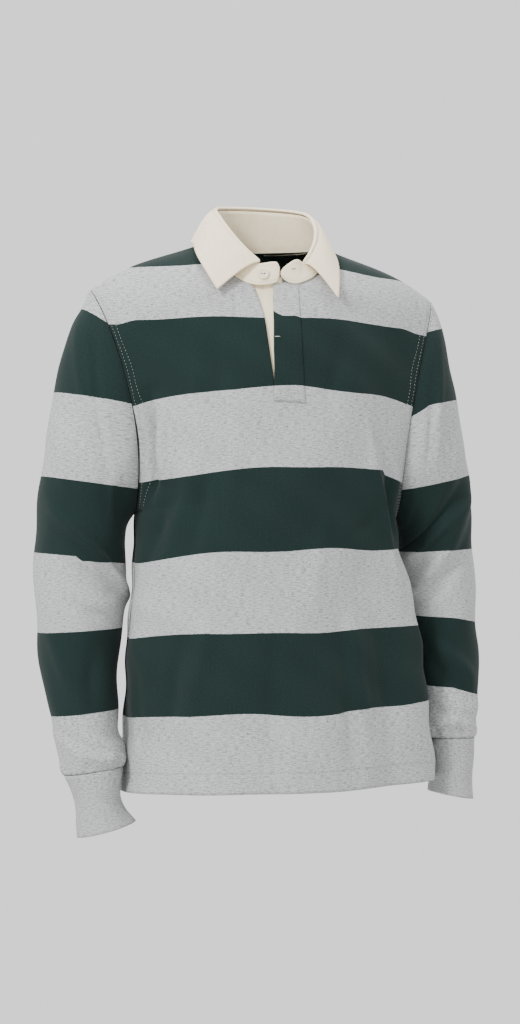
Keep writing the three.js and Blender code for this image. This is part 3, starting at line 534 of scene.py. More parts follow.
def body_cloth(point, face="front"):
    """Cloth level of a point of the body, which says its stripe.

    Its height and a slow wave, less the side seam's drop times (distance out / 165) squared.
    """
    x, z = point[..., 0], point[..., 2]
    right, left = (column(SIDE_DROOP[hand], z, "drop") for hand in ("right", "left"))
    drop = np.where(x < 0, right, left)
    if face == "back":
        # Over the shoulder blades the stripes hang lower
        drop = drop - 30 * ease(z, -110, -40)
    else:
        # The chest stripe turns down just before the armhole seams
        turned_down = np.where(x < 0, 4 * ease(-x, 168, 188), 8 * ease(x, 165, 200))
        drop = drop - turned_down * bell(z, -105, 24)
        # The next one steps down behind the long fold on the wearer's left
        behind = x - 133 + 0.32 * (z + 284)
        drop = drop - (7 * ease(behind, 0, 3) + 5 * ease(behind, 0, 22)) * bell(z, -292, 40)
    warp = waves(5, point, (170, 120, 90), 3)
    return z + warp - drop * np.minimum(np.abs(x) / 165, 1.1)**2


def sleeve_cloth(hand, point, sections, down):
    """Cloth level of a point of a sleeve.

    Its height, less the drop times the share of the way in, with the steps of the elbow's folds,
    then brought to the body's stripe levels.
    """
    out, inn = column(sections, down, "outX"), column(sections, down, "inX")
    across = np.clip((out - np.abs(point[..., 0])) / (out - inn), 0, 1)
    z = point[..., 2]
    level = z - column(SLEEVE_TILT[hand], z, "drop") * across
    for outer, inner, start, end, centre, width in SLEEVE_STEPS[hand]:
        step = outer + (inner - outer) * ease(across, start, end)
        level = level + step * bell(z, centre, width)
    return np.interp(level, [CLOTH_LOW - 60] + SLEEVE_EDGES[hand], [CLOTH_LOW] + STRIPE_EDGES)


def shell(name, wall, material, grids, lift=0.0):
    """Piece of cloth: grids of points joined where they coincide, then given a wall all round.

    A grid is rows of points, their place across and along the flat cloth, their distance to the
    nearest stitched line, and whether its faces turn over. Each joined point goes out and in by
    half the wall along the mean normal of its faces, and strips close the rim between the two.
    """
    parts, count = [], 0
    for points, u, v, seam, flip in grids:
        rows, columns = points.shape[:2]
        numbers = np.arange(rows * columns).reshape(rows, columns) + count
        quads = [numbers[:-1, :-1], numbers[1:, :-1], numbers[1:, 1:], numbers[:-1, 1:]]
        quads = np.stack(quads, -1).reshape(-1, 4)
        parts.append((
            points.reshape(-1, 3), np.stack(np.broadcast_arrays(u, v), -1).reshape(-1, 2),
            np.broadcast_to(seam, (rows, columns)).reshape(-1), quads[:, ::-1] if flip else quads,
        ))
        count += rows * columns
    points, uv, seam, quads = (np.concatenate(part) for part in zip(*parts))
    _, first, weld = np.unique(np.round(points, 3), axis=0, return_index=True, return_inverse=True)
    joined, seam = points[first], seam[first]
    count = len(joined)
    corners = weld.reshape(-1)[quads]
    p = joined[corners]
    face_normals = np.cross(p[:, 2] - p[:, 0], p[:, 3] - p[:, 1])
    normals = np.zeros_like(joined)
    for k in range(4):
        np.add.at(normals, corners[:, k], face_normals)
    normals = unit(normals)
    outer = joined + normals * (wall / 2 + lift)
    inner = joined - normals * (wall / 2 - lift)
    heads, tails = corners.reshape(-1), np.roll(corners, -1, 1).reshape(-1)
    head_ids, tail_ids = quads.reshape(-1), np.roll(quads, -1, 1).reshape(-1)
    open_edges = ~np.isin(heads * count + tails, tails * count + heads)
    a, b = heads[open_edges], tails[open_edges]
    rim = np.stack([b, a, a + count, b + count], -1)
    rim_ids = np.stack([tail_ids, head_ids, head_ids, tail_ids], -1)[open_edges]
    faces = np.concatenate([corners, corners[:, ::-1] + count, rim])
    face_ids = np.concatenate([quads, quads[:, ::-1], rim_ids])
    mesh = mesh_of(name, np.concatenate([outer, inner]), faces.tolist())
    layer = mesh.uv_layers.new(name="cloth")
    layer.data.foreach_set("uv", (uv[face_ids.reshape(-1)] * MM).astype(np.float32).reshape(-1))
    field = mesh.attributes.new("seam", "FLOAT", "POINT")
    field.data.foreach_set("value", np.concatenate([seam, seam]).astype(np.float32))
    return object_of(name, mesh, material)


def mesh_of(name, points, faces, smooth=True):
    """Mesh in metres from points in millimetres and lists of corners."""
    mesh = bpy.data.meshes.new(name)
    mesh.from_pydata((points * MM).tolist(), [], faces)
    mesh.polygons.foreach_set("use_smooth", [smooth] * len(mesh.polygons))
    return mesh


def object_of(name, mesh, material):
    """Object of a mesh, in the scene, with one material."""
    made = bpy.data.objects.new(name, mesh)
    bpy.context.scene.collection.objects.link(made)
    mesh.materials.append(material)
    return made


def linear(colour):
    """Linear colour of an sRGB hex colour."""
    parts = [int(colour[i:i + 2], 16) / 255 for i in (1, 3, 5)]
    return [c / 12.92 if c <= 0.04045 else ((c + 0.055) / 1.055)**2.4 for c in parts] + [1]


def node(tree, kind, inputs=None, stops=(), **settings):
    """Add a node with its settings.

    Each input is a value, another node's output, or a node whose first output is meant. Stops are
    a ramp's places and sRGB colours.
    """
    made = tree.nodes.new("ShaderNode" + kind)
    for name, value in settings.items():
        setattr(made, name, value)
    for key, value in (inputs or {}).items():
        if isinstance(value, bpy.types.Node):
            value = value.outputs[0]
        if isinstance(value, bpy.types.NodeSocket):
            tree.links.new(value, made.inputs[key])
        else:
            made.inputs[key].default_value = value
    if stops:
        points = made.color_ramp.elements
        while len(points) < len(stops):
            points.new(0.5)
        for point, (place, colour) in zip(points, stops):
            point.position = place
        for point, (place, colour) in zip(points, stops):
            point.color = linear(colour)
    return made


def matt(name, roughness, sheen=0.0):
    """New matt material of yarn, resin or paint; returns it with its tree and its shader."""
    made = bpy.data.materials.new(name)
    made.use_nodes = True
    tree = made.node_tree
    shader = tree.nodes["Principled BSDF"]
    shader.inputs["Roughness"].default_value = roughness
    shader.inputs["Specular IOR Level"].default_value = 0.12
    shader.inputs["Sheen Weight"].default_value = sheen
    shader.inputs["Sheen Roughness"].default_value = 0.5
    return made, tree, shader


def uneven(tree, place, detail, wide, high=None):
    """Unevenness of a yarn or surface: noise whose patches have a size in millimetres."""
    size = np.array([wide, high or wide, wide])
    mapped = node(tree, "Mapping", {"Vector": place, "Scale": 1 / (size * MM)})
    return node(tree, "TexNoise", {"Vector": mapped, "Scale": 1, "Detail": detail})


def heather(tree, cloth):
    """Heather yarn: charcoal and white fibres spun together, in streaks along the courses.

    A real streak is 5 to 15 mm long and under 1 mm high. The long ones here are 7 by 1.2 mm, as
    coarse as they need to be to show, and the flecks 2.6 by 0.8 mm.
    """
    streaks = uneven(tree, cloth, 4, 7.13, 1.1655)
    flecks = uneven(tree, cloth, 3, 2.604, 0.8013)
    base = node(tree, "ValToRGB", {"Fac": streaks}, [
        (0.35, "#626469"), (0.44, "#999b9c"), (0.52, "#b3b4b4"), (0.64, "#c9c9c7"),
    ])
    fine = node(tree, "ValToRGB", {"Fac": flecks}, [
        (0.34, "#5b5d62"), (0.45, "#a0a2a4"), (0.57, "#b7b7b7"), (0.70, "#d4d4d2"),
    ])
    return node(tree, "Mix", {0: 0.5, 6: base, 7: fine}, data_type="RGBA").outputs[2]


def relief(tree, shader, height, strength):
    """Bump from a height in metres, less a groove along the stitched lines.

    The groove's depth falls away from the line as exp(-(distance / width) squared).
    """
    groove = node(tree, "Attribute", attribute_name="seam").outputs["Fac"]
    for operation, value in (
            ("DIVIDE", GROOVE_WIDTH), ("POWER", 2), ("MULTIPLY", -1), ("EXPONENT", 0),
            ("MULTIPLY", GROOVE_DEPTH * MM)):
        groove = node(tree, "Math", {0: groove, 1: value}, operation=operation)
    height = node(tree, "Math", {0: height, 1: groove}, operation="SUBTRACT")
    bump = node(tree, "Bump", {"Height": height, "Strength": strength, "Distance": 1.0})
    tree.links.new(bump.outputs[0], shader.inputs["Normal"])


def knit_relief(tree, cloth, shader, wale, course, depth):
    """Relief of a knit: a sine across the wales, half a one along the courses, and fuzz.

    The fuzz is noise at 1.1 mm, as fine as shows; loose fibres are finer. Sizes are millimetres.
    """
    parts = node(tree, "SeparateXYZ", {0: cloth})
    loops = 0
    for i, pitch, share in ((0, wale, 1), (1, course, 0.5)):
        turns = {0: parts.outputs[i], 1: 2 * math.pi / (pitch * MM)}
        wave = node(tree, "Math", turns, operation="MULTIPLY")
        wave = node(tree, "Math", {0: wave}, operation="SINE")
        wave = node(tree, "Math", {0: wave, 1: share}, operation="MULTIPLY")
        loops = node(tree, "Math", {0: loops, 1: wave}, operation="ADD")
    fuzz = node(tree, "Math", {0: uneven(tree, cloth, 4, 1.111), 1: 2.0}, operation="MULTIPLY")
    total = node(tree, "Math", {0: loops, 1: fuzz}, operation="ADD")
    height = node(tree, "Math", {0: total, 1: depth * MM}, operation="MULTIPLY")
    relief(tree, shader, height, 1.0)


def striped_jersey():
    """Heavy cotton jersey of 380 g a square metre, knitted in stripes and brushed by wear.

    It is dull, with a soft fuzz and no gloss. Wales are 1.6 mm apart and courses 1.1 mm, as in a
    real one. A stripe's edge wanders by half a millimetre, which is half a course.
    """
    made, tree, shader = matt("striped jersey", 0.95, 0.06)
    cloth = node(tree, "UVMap", uv_map="cloth")
    parts = node(tree, "SeparateXYZ", {0: cloth})
    wander = node(tree, "Math", {0: uneven(tree, cloth, 2, 1.4286), 1: 0.5}, operation="SUBTRACT")
    wander = node(tree, "Math", {0: wander, 1: 1.0 * MM}, operation="MULTIPLY")
    level = node(tree, "Math", {0: parts.outputs[1], 1: wander}, operation="ADD")
    level = node(tree, "Math", {0: level, 1: -CLOTH_LOW * MM}, operation="ADD")
    place = node(tree, "Math", {0: level, 1: CLOTH_SPAN * MM}, operation="DIVIDE")
    stops = [(0, "#000000")]
    for i, edge in enumerate(STRIPE_EDGES):
        stops.append(((edge - CLOTH_LOW) / CLOTH_SPAN, "#000000" if i % 2 else "#ffffff"))
    dark = node(tree, "ValToRGB", {"Fac": place}, stops)
    dark.color_ramp.interpolation = "CONSTANT"
    # Bottle green yarn, dyed in the hank: deep, with hardly any variation
    green = node(tree, "ValToRGB", {"Fac": uneven(tree, cloth, 4, 2.632, 1.316)}, [
        (0.3, "#162523"), (0.5, "#192826"), (0.72, "#1d2e2c"),
    ])
    colours = {0: dark, 6: heather(tree, cloth), 7: green}
    stripes = node(tree, "Mix", colours, data_type="RGBA")
    tree.links.new(stripes.outputs[2], shader.inputs["Base Color"])
    knit_relief(tree, cloth, shader, 1.6, 1.1, 0.05)
    return made


def heather_rib():
    """Cotton rib of the heather yarn: dull grey with fine lines along the arm, 2.6 mm apart."""
    made, tree, shader = matt("heather grey rib", 0.95, 0.06)
    cloth = node(tree, "UVMap", uv_map="cloth")
    tree.links.new(heather(tree, cloth), shader.inputs["Base Color"])
    knit_relief(tree, cloth, shader, 2.6, 1.4, 0.16)
    return made


def cotton_twill(name, light, deep):
    """Washed cotton twill: smooth warm cream with a faint sheen.

    Its diagonal ribs are 0.8 mm apart; a real one has them at 0.5 mm, too fine to show. A soft
    unevenness 17 mm wide is the puckering of a washed, lined collar.
    """
    made, tree, shader = matt(name, 0.9, 0.15)
    cloth = node(tree, "UVMap", uv_map="cloth")
    parts = node(tree, "SeparateXYZ", {0: cloth})
    diagonal = node(tree, "Math", {0: parts.outputs[0], 1: parts.outputs[1]}, operation="ADD")
    turns = node(tree, "Math", {0: diagonal, 1: 2 * math.pi / (1.1 * MM)}, operation="MULTIPLY")
    rib = node(tree, "Math", {0: turns}, operation="SINE")
    rib = node(tree, "Math", {0: rib, 1: 0.04 * MM}, operation="MULTIPLY")
    pucker = node(tree, "Math", {0: uneven(tree, cloth, 2, 16.67), 1: 1.2 * MM}, operation="MULTIPLY")
    colour = node(tree, "ValToRGB", {"Fac": uneven(tree, cloth, 4, 3.846)}, [(0.3, deep), (0.7, light)])
    tree.links.new(colour.outputs[0], shader.inputs["Base Color"])
    relief(tree, shader, node(tree, "Math", {0: rib, 1: pucker}, operation="ADD"), 0.7)
    return made


def mottled(name, light, deep, roughness, size):
    """Nearly plain finish, a little deeper in soft patches of a size in millimetres."""
    made, tree, shader = matt(name, roughness)
    tone = uneven(tree, node(tree, "TexCoord").outputs["Object"], 3, size)
    colour = node(tree, "ValToRGB", {"Fac": tone}, [(0.35, deep), (0.65, light)])
    tree.links.new(colour.outputs[0], shader.inputs["Base Color"])
    return made


def offset_from_axis(points):
    """Unit vectors out from the torso's axis, level."""
    out = points - np.array([0, TORSO_Y, 0])
    out[..., 2] = 0
    return unit(out)


def half_panel(face, hand):
    """Rows of points of one half of a body panel, with their cloth place and seam distance.

    Columns are closer together at the side: the sine of even steps of the row's spread. The cloth
    is pulled in along the armhole by a bell curve, and by a tuck low on the wearer's right.
    """
    rows = np.linspace(0, HEM_ROW, HEM_ROW * SUB_ROWS + 1)
    spread = np.radians(column(PANEL_ROWS[face], rows, "spread"))[:, None]
    share = np.sin(spread * np.linspace(0, 1, PANEL_COLUMNS + 1)) / np.sin(spread)
    points = panel_point(face, hand, rows[:, None], share)
    lengths = np.linalg.norm(np.diff(points, axis=1), axis=2)
    across = np.concatenate([np.zeros((len(rows), 1)), np.cumsum(lengths, 1)], 1)
    u = ARMHOLES[hand]["side"] * (across + np.abs(points[:, :1, 0]))
    v = body_cloth(points, face)
    to_edge = across[:, -1:] - across
    above_hem = points[..., 2] - points[-1, :, 2]
    beside_armhole = np.where(rows[:, None] <= ARM_ROW, np.abs(to_edge - ARMHOLE_GROOVE), NO_SEAM)
    seam = np.minimum(np.abs(above_hem - HEM_DEPTH), beside_armhole)
    dip = -0.9 * bell(to_edge, 0, 3.2)
    if face == "front" and hand == "right":
        tuck = 7 * bell(to_edge, 5, 5) * (1 - 0.45 * bell(to_edge, 0, 2.5))
        dip = dip - tuck * bell(points[..., 2], -248, 34)
    return points + offset_from_axis(points) * dip[..., None], u, v, seam


def body_panel(face, material):
    """Front or back, its halves joined below the neckline and the opening."""
    halves = [
        half_panel(face, hand) + ((face == "front") != (hand == "left"),) for hand in ("right", "left")
    ]
    return shell(face, JERSEY, material, halves)


def sleeve(hand, material):
    """Sleeve tube from the armhole to the cuff seam."""
    down = np.linspace(0, SLEEVE_END[hand], 141)[:, None]
    at = np.linspace(0, 360, 97)[None, :]
    folds = SLEEVE_FOLDS[hand] + SLEEVE_CREASES[hand]
    points = section_point(hand, SLEEVES[hand], down, at, folds, SEAM_INSET, gather=2.1)
    points[:, -1] = points[:, 0]
    v = sleeve_cloth(hand, points, SLEEVES[hand], down)
    grid = (points, at / 360 * SLEEVE_GIRTH, v, np.abs(down - 4), hand == "left")
    return shell("sleeve_" + hand, JERSEY, material, [grid])


def cuff(hand, material):
    """Ribbed cuff: a tube with 36 flutes, a sine round it that deepens over the first 20 mm.

    Real ribs are 2 to 3 mm apart. The flutes are 6.4 mm, so that they show, and the rib's own
    lines are in its material.
    """
    down = np.linspace(0, CUFF_END[hand], 29)[:, None]
    at = np.linspace(0, 360, 145)[None, :]
    points = section_point(hand, CUFFS[hand], down, at, [], 0)
    flute = 0.12 * np.sin(np.radians(at * 36)) * np.clip(down / 20, 0.3, 1)
    points = points + unit(points - points.mean(1, keepdims=True)) * flute[..., None]
    points[:, -1] = points[:, 0]
    seam = np.minimum(np.abs(down - 1.5), np.abs(CUFF_END[hand] - down) + 3)
    grid = (points, at / 360 * CUFF_GIRTH, -down + 0 * at, seam, hand == "left")
    return shell("cuff_" + hand, JERSEY, material, [grid])


def fall_point(at, share):
    """Point of the collar's fall: straight from fold to free edge, rounded out by half a sine."""
    at, share = pair(at, share)
    fold, edge = point_of(FALL, at, "fold"), point_of(FALL, at, "edge")
    out = edge - fold
    out[..., 2] = 0
    out = unit(out)
    out[..., 2] = 1
    belly = FALL_BELLY * np.sin(math.pi * share**0.6)
    return fold + (edge - fold) * share[..., None] + out * belly[..., None]


def collar_fall(material):
    """The fall, with half an ellipse of 1.9 by 2.4 mm rolled over at its fold."""
    at = np.linspace(0, 12, 169)[None, :]
    share = np.linspace(0, 1, 17)[:, None]
    points = fall_point(at, share)
    fold = points[0]
    out = unit(fold * np.array([1, 1, 0]) - np.array([0, TORSO_Y - 8, 0]))
    turn = np.radians([180, 150, 120, 90, 55, 25])[:, None, None]
    roll = fold + out * 1.9 * (np.cos(turn) - 1) + np.array([0, 0, 1]) * (2.4 * np.sin(turn) + 0.2)
    points = np.concatenate([roll, points], 0)
    lengths = np.linalg.norm(np.diff(points, axis=0), axis=2)
    along = np.concatenate([np.zeros((1, at.size)), np.cumsum(lengths, 0)], 0)
    return shell("collar_fall", TWILL, material, [(points, at * COLLAR_STEP, -along, NO_SEAM, False)])


def stand_point(at, share):
    """Point of the collar's stand: straight from its top to its lower edge, which laps out."""
    at, share = pair(at, share)
    top, low = point_of(STAND, at, "top"), point_of(STAND, at, "low")
    low = low + offset_from_axis(low) * column(STAND_LAP, at, "out")[..., None]
    low[..., 2] -= column(STAND_LAP, at, "down")
    return top + (low - top) * share[..., None]


def collar_stand(material):
    """The stand with its two tabs."""
    at = np.linspace(-1, 13, 225)[None, :]
    share = np.linspace(0, 1, 13)[:, None]
    seam = np.abs(share - 0.9) * 25 + 0 * at
    grid = (stand_point(at, share), at * COLLAR_STEP, -share * COLLAR_STEP, seam, False)
    return shell("collar_stand", TWILL, material, [grid])


def front_point(row, x):
    """Point of the front at a distance across from the middle, on either side of the opening."""
    row, x = pair(row, x)
    made = np.empty(row.shape + (3,))
    inner = {hand: inner_end("front", hand, row)[..., 0] for hand in ("right", "left")}
    gape = (inner["right"] + inner["left"]) / 2
    for hand in ("right", "left"):
        outer = outer_end("front", hand, row)[..., 0]
        share = np.maximum((x - inner[hand]) / (outer - inner[hand]), 0)
        found = panel_point("front", hand, row, share)
        here = x < gape if hand == "right" else x >= gape
        made[here] = found[here]
    made[..., 0] = x
    return made


def strip_edges(row):
    """The strip's two edges at a row."""
    fold = inner_end("front", "left", row)[..., 0]
    share = (row - NECK_ROW) / (STRIP_LAST - NECK_ROW)
    return fold - STRIP_LAP, fold + STRIP_WIDTH[0] + (STRIP_WIDTH[1] - STRIP_WIDTH[0]) * share


def strip_point(row, share):
    """Point of the front under the strip, a share of the way across the strip."""
    start, end = strip_edges(row)
    return front_point(row, start + (end - start) * share)


def placket_strip(material):
    """The self-cloth strip over the wearer's left edge of the opening.

    Its stripe stands higher than the front's, most of all at the folded edge, and meets it again
    at the foot of the opening.
    """
    rows = np.linspace(NECK_ROW + PLACKET_START, STRIP_LAST, 37)[:, None]
    share = np.linspace(0, 1, 15)[None, :]
    points = strip_point(rows, share)
    higher = np.interp(share, [0, 0.15, 0.33, 0.85, 1], [15, 10, 4.8, 4.4, 0])
    v = body_cloth(points) - ease(rows, SLIT_ROW - 1.5, SLIT_ROW - 3.5) * higher
    # Its groove is 3 mm in from its outer edge, and shallow
    grid = (points, points[..., 0], v, np.abs((1 - share) * 32 - 3) + 1.3, False)
    return shell("placket_strip", STRIP, material, [grid], lift=STRIP_LIFT)


def placket_facing(material):
    """The twill facing that shows in the opening.

    It follows the front a little behind it, with a step of 0.9 mm along a soft fold in its middle,
    a logistic curve of the distance across. Four more rows run up behind the stand.
    """
    rows = np.linspace(NECK_ROW + PLACKET_START, SLIT_ROW - 0.1, 33)[:, None]
    start = inner_end("front", "right", rows)[..., 0] - 8
    x = start + (9 - start) * np.linspace(0, 1, 21)[None, :]
    points = front_point(rows, x)
    fold = np.interp(points[..., 2], [-185, -125, -60], [-6.5, -8, -4])
    points[..., 1] -= 0.9 / (1 + np.exp(-(x - fold) * 3))
    behind = points[:1] + np.array([0, 0.4, 2.6]) * np.arange(4, 0, -1)[:, None, None]
    points = np.concatenate([behind, points])
    x = np.concatenate([np.repeat(x[:1], 4, 0), x])
    grid = (points, x, points[..., 2], NO_SEAM, False)
    return shell("placket_facing", TWILL, material, [grid], lift=-(JERSEY + TWILL) / 2 - 1.2)


def turned(points, facing, place):
    """Points of a piece built along +Z, turned to face a way and moved to its place."""
    z = facing / np.linalg.norm(facing)
    x = np.cross([0, 0, 1], z)
    x /= np.linalg.norm(x)
    return points @ np.stack([x, np.cross(z, x), z]) + place


def line_on(evaluate, a, b, level, lift):
    """Line of points on a surface, lifted along its normals.

    They are cross products of two small differences, turned away from the torso's axis at a level.
    """
    a, b = pair(a, b)
    points = evaluate(a, b)
    da = evaluate(a + 0.02, b) - evaluate(a - 0.02, b)
    db = evaluate(a, b + 0.002) - evaluate(a, b - 0.002)
    normals = unit(np.cross(da, db))
    out = points - np.array([0, TORSO_Y, level])
    normals = normals * np.sign((normals * out).sum(-1, keepdims=True))
    return points + normals * lift, normals


def button(material, hole_thread_and_shade):
    """Round button, turned from a profile: dished middle, rounded rim and a flat back.

    Each of two pits 1.35 mm deep, logistic curves of the distance from their middles, is a hole. Faces
    in a pit take the second, dark material: painted shade of the hole, and the thread in it.
    """
    radii = np.concatenate([
        np.linspace(0.04, 4.6, 24), np.linspace(4.8, 6.8, 9), [6.8, 6.8, 6.5, 6.2, 3.0, 0.04],
    ])
    heights = np.where(radii < 4.7, 2.2, 2.6) - np.where(radii > 6.3, (radii - 6.3)**2 * 1.8, 0)
    heights[-6:] = [1.8, 0.5, 0.1, 0, 0, 0]
    turns = np.linspace(0, 2 * math.pi, BUTTON_SIDES + 1)[:-1]
    x, y = radii[:, None] * np.cos(turns), radii[:, None] * np.sin(turns)
    z = np.repeat(heights[:, None], BUTTON_SIDES, 1)
    away = np.stack([np.hypot(x + HOLE_OUT, y), np.hypot(x - HOLE_OUT, y)])
    z[:-6] -= (1.35 / (1 + np.exp((away - 0.78) * 14))).sum(0)[:-6]
    place, facing = line_on(stand_point, [BUTTON_AT], [BUTTON_SHARE], 0, TWILL / 2 + 0.3)
    points = turned(np.stack([x, y, z], -1).reshape(-1, 3), facing[0], place[0])
    ring, rows = np.arange(BUTTON_SIDES), np.arange(len(radii) - 1)[:, None] * BUTTON_SIDES
    after = (ring + 1) % BUTTON_SIDES
    below = rows + BUTTON_SIDES
    quads = np.stack([rows + ring, below + ring, below + after, rows + after], -1)
    faces = quads.reshape(-1, 4).tolist() + [ring[::-1].tolist(), (below[-1] + ring).tolist()]
    mesh = mesh_of("button_neck", points, faces)
    made = object_of("button_neck", mesh, material)
    mesh.materials.append(hole_thread_and_shade)
    # Faces in the pits get the second, dark material: painted shade of each hole, and the thread in it
    shaded_pit_points = away.min(0) < 0.95
    pit_shade_faces = np.zeros(len(faces), np.int32)
    pit_shade_faces[:(len(radii) - 7) * BUTTON_SIDES] = (shaded_pit_points[:-7] & shaded_pit_points[1:-6]).reshape(-1)
    mesh.polygons.foreach_set("material_index", pit_shade_faces)
    return made


def stitches(name, lines, material, pitch=4.2, length=2.1, radius=0.18):
    """Row of short threads along each line of (points, normals).

    A thread is a spindle: its two ends and two rings of four points, lifted 0.3 mm, at a fifth and
    four fifths of its length.
    """
    threads = []
    for points, normals in lines:
        place = np.concatenate([[0], np.cumsum(np.linalg.norm(np.diff(points, axis=0), axis=1))])
        middle = np.arange(pitch / 2, place[-1] - pitch / 3, pitch)
        start, end, normal = (
            np.stack([np.interp(at, place, values[:, k]) for k in range(3)], -1)
            for at, values in (
                (middle - length / 2, points), (middle + length / 2, points), (middle, normals))
        )
        normal = unit(normal)
        side = np.cross(unit(end - start), normal)
        rings = [
            start + (end - start) * share + normal * 0.3 + radius * (c * side + s * normal)
            for share in (0.2, 0.8) for c, s in ((1, 0), (0, 1), (-1, 0), (0, -1))
        ]
        threads.append(np.stack([start] + rings + [end], 1))
    threads = np.concatenate(threads)
    first = np.arange(len(threads))[:, None, None] * 10
    j = np.arange(4)
    k = (j + 1) % 4
    tips = np.concatenate([
        np.stack([0 * j, 1 + k, 1 + j], -1), np.stack([9 + 0 * j, 5 + j, 5 + k], -1),
    ])
    sides = np.stack([1 + j, 1 + k, 5 + k, 5 + j], -1)
    faces = (first + tips).reshape(-1, 3).tolist() + (first + sides).reshape(-1, 4).tolist()
    return object_of(name, mesh_of(name, threads.reshape(-1, 3), faces, smooth=False), material)


def panel_stitches(face):
    """Twin lines beside the armholes and the line of the hem."""
    lines = []
    for hand in ("right", "left"):
        evaluate = lambda row, share, hand=hand: panel_point(face, hand, row, share)
        rows = np.linspace(0.3, ARM_ROW - 0.6, 150)
        reach = np.linalg.norm(outer_end(face, hand, rows) - inner_end(face, hand, rows), axis=-1)
        for inset in TWIN_ROWS:
            lines.append(line_on(evaluate, rows, 1 - inset / reach, -300, JERSEY / 2))
        row = HEM_ROW - (HEM_ROW - ARM_ROW) * HEM_DEPTH / SIDE_LENGTH
        share = np.linspace(0.01, 0.995, 120)
        lines.append(line_on(evaluate, row, share, -600, JERSEY / 2))
    return lines


def placket_stitches():
    """Stitched box with its diagonals at the foot of the strip."""
    low, high = STRIP_LAST - 0.07, SLIT_ROW + 0.03
    down, across = np.linspace(low, high, 12), np.linspace(0.1, 0.9, 12)
    paths = [
        (down, 0.1), (down, 0.9), (low, across), (high, across), (down, across), (down, across[::-1]),
    ]
    return [line_on(strip_point, a, b, -150, 1.9) for a, b in paths]


def tab_stitches():
    """Lines along the stand's tabs, near their lower and upper edges."""
    paths = [
        (np.linspace(-0.9, 1.2, 40), 0.88), (np.linspace(-0.9, 0.4, 24), 0.12),
        (np.linspace(10.8, 12.9, 40), 0.88), (np.linspace(12, 12.9, 24), 0.14),
    ]
    return [line_on(stand_point, a, b, 0, TWILL / 2) for a, b in paths]


def thread_bar():
    """Short bar of thread across the strip's folded edge, between the tabs and the opening's foot."""
    rows = np.linspace(NECK_ROW, SLIT_ROW, 200)
    row = np.interp(-BAR_LEVEL, -column(PANEL_ROWS["front"], rows, "level"), rows)
    x = strip_edges(row)[0] + np.linspace(0.5, 8, 8)
    return line_on(front_point, row, x, -150, 2.0)


jersey = striped_jersey()
rib = heather_rib()
cream = cotton_twill("cream twill", "#fff2d4", "#f9e9c8")
tape_cream = cotton_twill("cream twill tape", "#f5e8ca", "#eee0bf")
# Cast polyester, tumbled: smooth and low in gloss, with faint clouds 3 mm wide
resin = mottled("cream button", "#f2e6cf", "#e9dabd", 0.4, 2.857)
# Spun polyester thread: dull; its twist, 0.3 mm long, is drawn as patches of 0.8 mm
thread = mottled("pale thread", "#b1b2ad", "#a2a39e", 0.8, 0.8333)
cream_thread = mottled("cream thread", "#dcd3c1", "#cdc3b0", 0.8, 0.8333)
# Dark brown thread; in the button's pits it is also painted shade of each hole
dark_thread_and_hole_shade = mottled("dark thread and hole shade", "#3d352e", "#302923", 0.8, 0.8333)

# Each cloth piece: the cut of what shows, all round on a tube, as width and length in metres, with
# its flat area in square metres where the cut isn't a rectangle
PANEL = dict(flat=(0.52, 0.72), area=0.30, held="draped")
pieces = [
    (body_panel("front", jersey), "front", "striped_jersey", PANEL),
    (body_panel("back", jersey), "back", "striped_jersey", PANEL),
    (sleeve("right", jersey), "sleeve_right", "striped_jersey",
     dict(flat=(0.40, 0.66), area=0.17, held="draped")),
    (sleeve("left", jersey), "sleeve_left", "striped_jersey",
     dict(flat=(0.40, 0.62), area=0.15, held="draped")),
    (cuff("right", rib), "cuff_right", "grey_rib", dict(flat=(0.22, 0.08), held="draped")),
    (cuff("left", rib), "cuff_left", "grey_rib", dict(flat=(0.21, 0.08), held="draped")),
    (collar_stand(cream), "collar_stand", "cream_twill", dict(flat=(0.46, 0.045), held="draped")),
    (collar_fall(cream), "collar_fall", "cream_twill", dict(flat=(0.46, 0.062), held="draped")),
    (placket_strip(jersey), "placket_strip", "striped_jersey", dict(flat=(0.037, 0.145), held="laid")),
    (placket_facing(tape_cream), "placket_facing", "cream_twill", dict(flat=(0.042, 0.125), held="laid")),
    (button(resin, dark_thread_and_hole_shade), "button_neck", "cream_button", None),
]
for piece, name, slot, cut in pieces:
    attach(piece, "root")
    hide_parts(name)

buttonhole = line_on(stand_point, np.linspace(12.58, 12.72, 4), 0.38, 0, 1.0)
sewing = [
    (stitches("stitching_front", panel_stitches("front"), thread), "striped_jersey"),
    (stitches("stitching_back", panel_stitches("back"), thread), "striped_jersey"),
    (stitches("stitching_placket", placket_stitches(), thread), "striped_jersey"),
    (stitches("stitching_tabs", tab_stitches(), cream_thread, 2.4, 1.8, 0.16), "cream_twill"),
    (stitches("thread_bar", [thread_bar()], cream_thread, 7.5, 7.4, 0.36), "striped_jersey"),
    (stitches("buttonhole_end", [buttonhole], dark_thread_and_hole_shade, 2.6, 2.4, 0.5), "cream_twill"),
]
for sewn, slot in sewing:
    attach(sewn, "root")

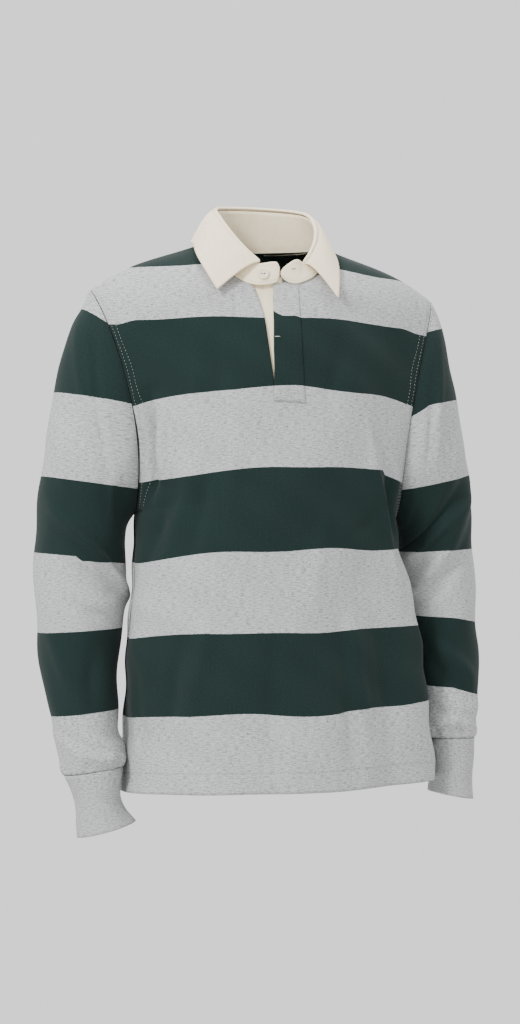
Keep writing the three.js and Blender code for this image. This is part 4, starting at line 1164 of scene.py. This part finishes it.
# Pale studio floor, well below the hem and outside the camera's view
turns = np.linspace(0, 2 * math.pi, FLOOR_SIDES + 1)[:-1]
disc = np.stack([
    FLOOR_RADIUS * np.cos(turns), FLOOR_RADIUS * np.sin(turns), np.full(FLOOR_SIDES, FLOOR_LEVEL),
], -1)
# Matt emulsion paint, rolled: pale grey with broad faint clouds
paint = mottled("painted floor", "#c9c9c7", "#c6c6c4", 0.9, 333.3)
object_of("floor", mesh_of("floor", disc, [list(range(FLOOR_SIDES))]), paint)


def area_light(name, place, target, size, power):
    """Soft square light that faces a point."""
    data = bpy.data.lights.new(name, "AREA")
    data.shape, data.size, data.energy = "SQUARE", size, power
    made = bpy.data.objects.new(name, data)
    bpy.context.scene.collection.objects.link(made)
    made.location = place
    direction = np.array(target) - np.array(place)
    flat = math.hypot(direction[0], direction[1])
    made.rotation_euler = (
        math.atan2(flat, -direction[2]), 0, math.atan2(-direction[0], direction[1]))


area_light("key", (-2.2, -1.9, 1.8), (0, 0, -0.35), 0.7, 125)
area_light("fill", (2.4, -2.2, 0.4), (0, 0, -0.35), 2.2, 8)
area_light("top", (0, 0.3, 2.4), (0, 0, -0.3), 1.2, 42)
area_light("behind", (0.8, 2.8, 0.6), (0, 0, -0.35), 2.0, 34)

world = bpy.data.worlds.new("studio")
world.use_nodes = True
world.node_tree.nodes["Background"].inputs["Color"].default_value = (1, 1, 1, 1)
world.node_tree.nodes["Background"].inputs["Strength"].default_value = 1.3
bpy.context.scene.world = world

# The camera looks level from 3.6 m away, turned to the wearer's right, with the shirt in its middle
camera_turn, camera_reach, camera_level, camera_aside = math.radians(-9), 3.6, -0.336, -0.005
camera_data = bpy.data.cameras.new("camera")
camera_data.lens = 101.25
camera_data.sensor_width = 36
camera = bpy.data.objects.new("camera", camera_data)
bpy.context.scene.collection.objects.link(camera)
camera.location = (
    camera_reach * math.sin(camera_turn) + camera_aside * math.cos(camera_turn),
    -camera_reach * math.cos(camera_turn) + camera_aside * math.sin(camera_turn),
    camera_level,
)
camera.rotation_euler = (math.pi / 2, 0, camera_turn)
bpy.context.scene.camera = camera
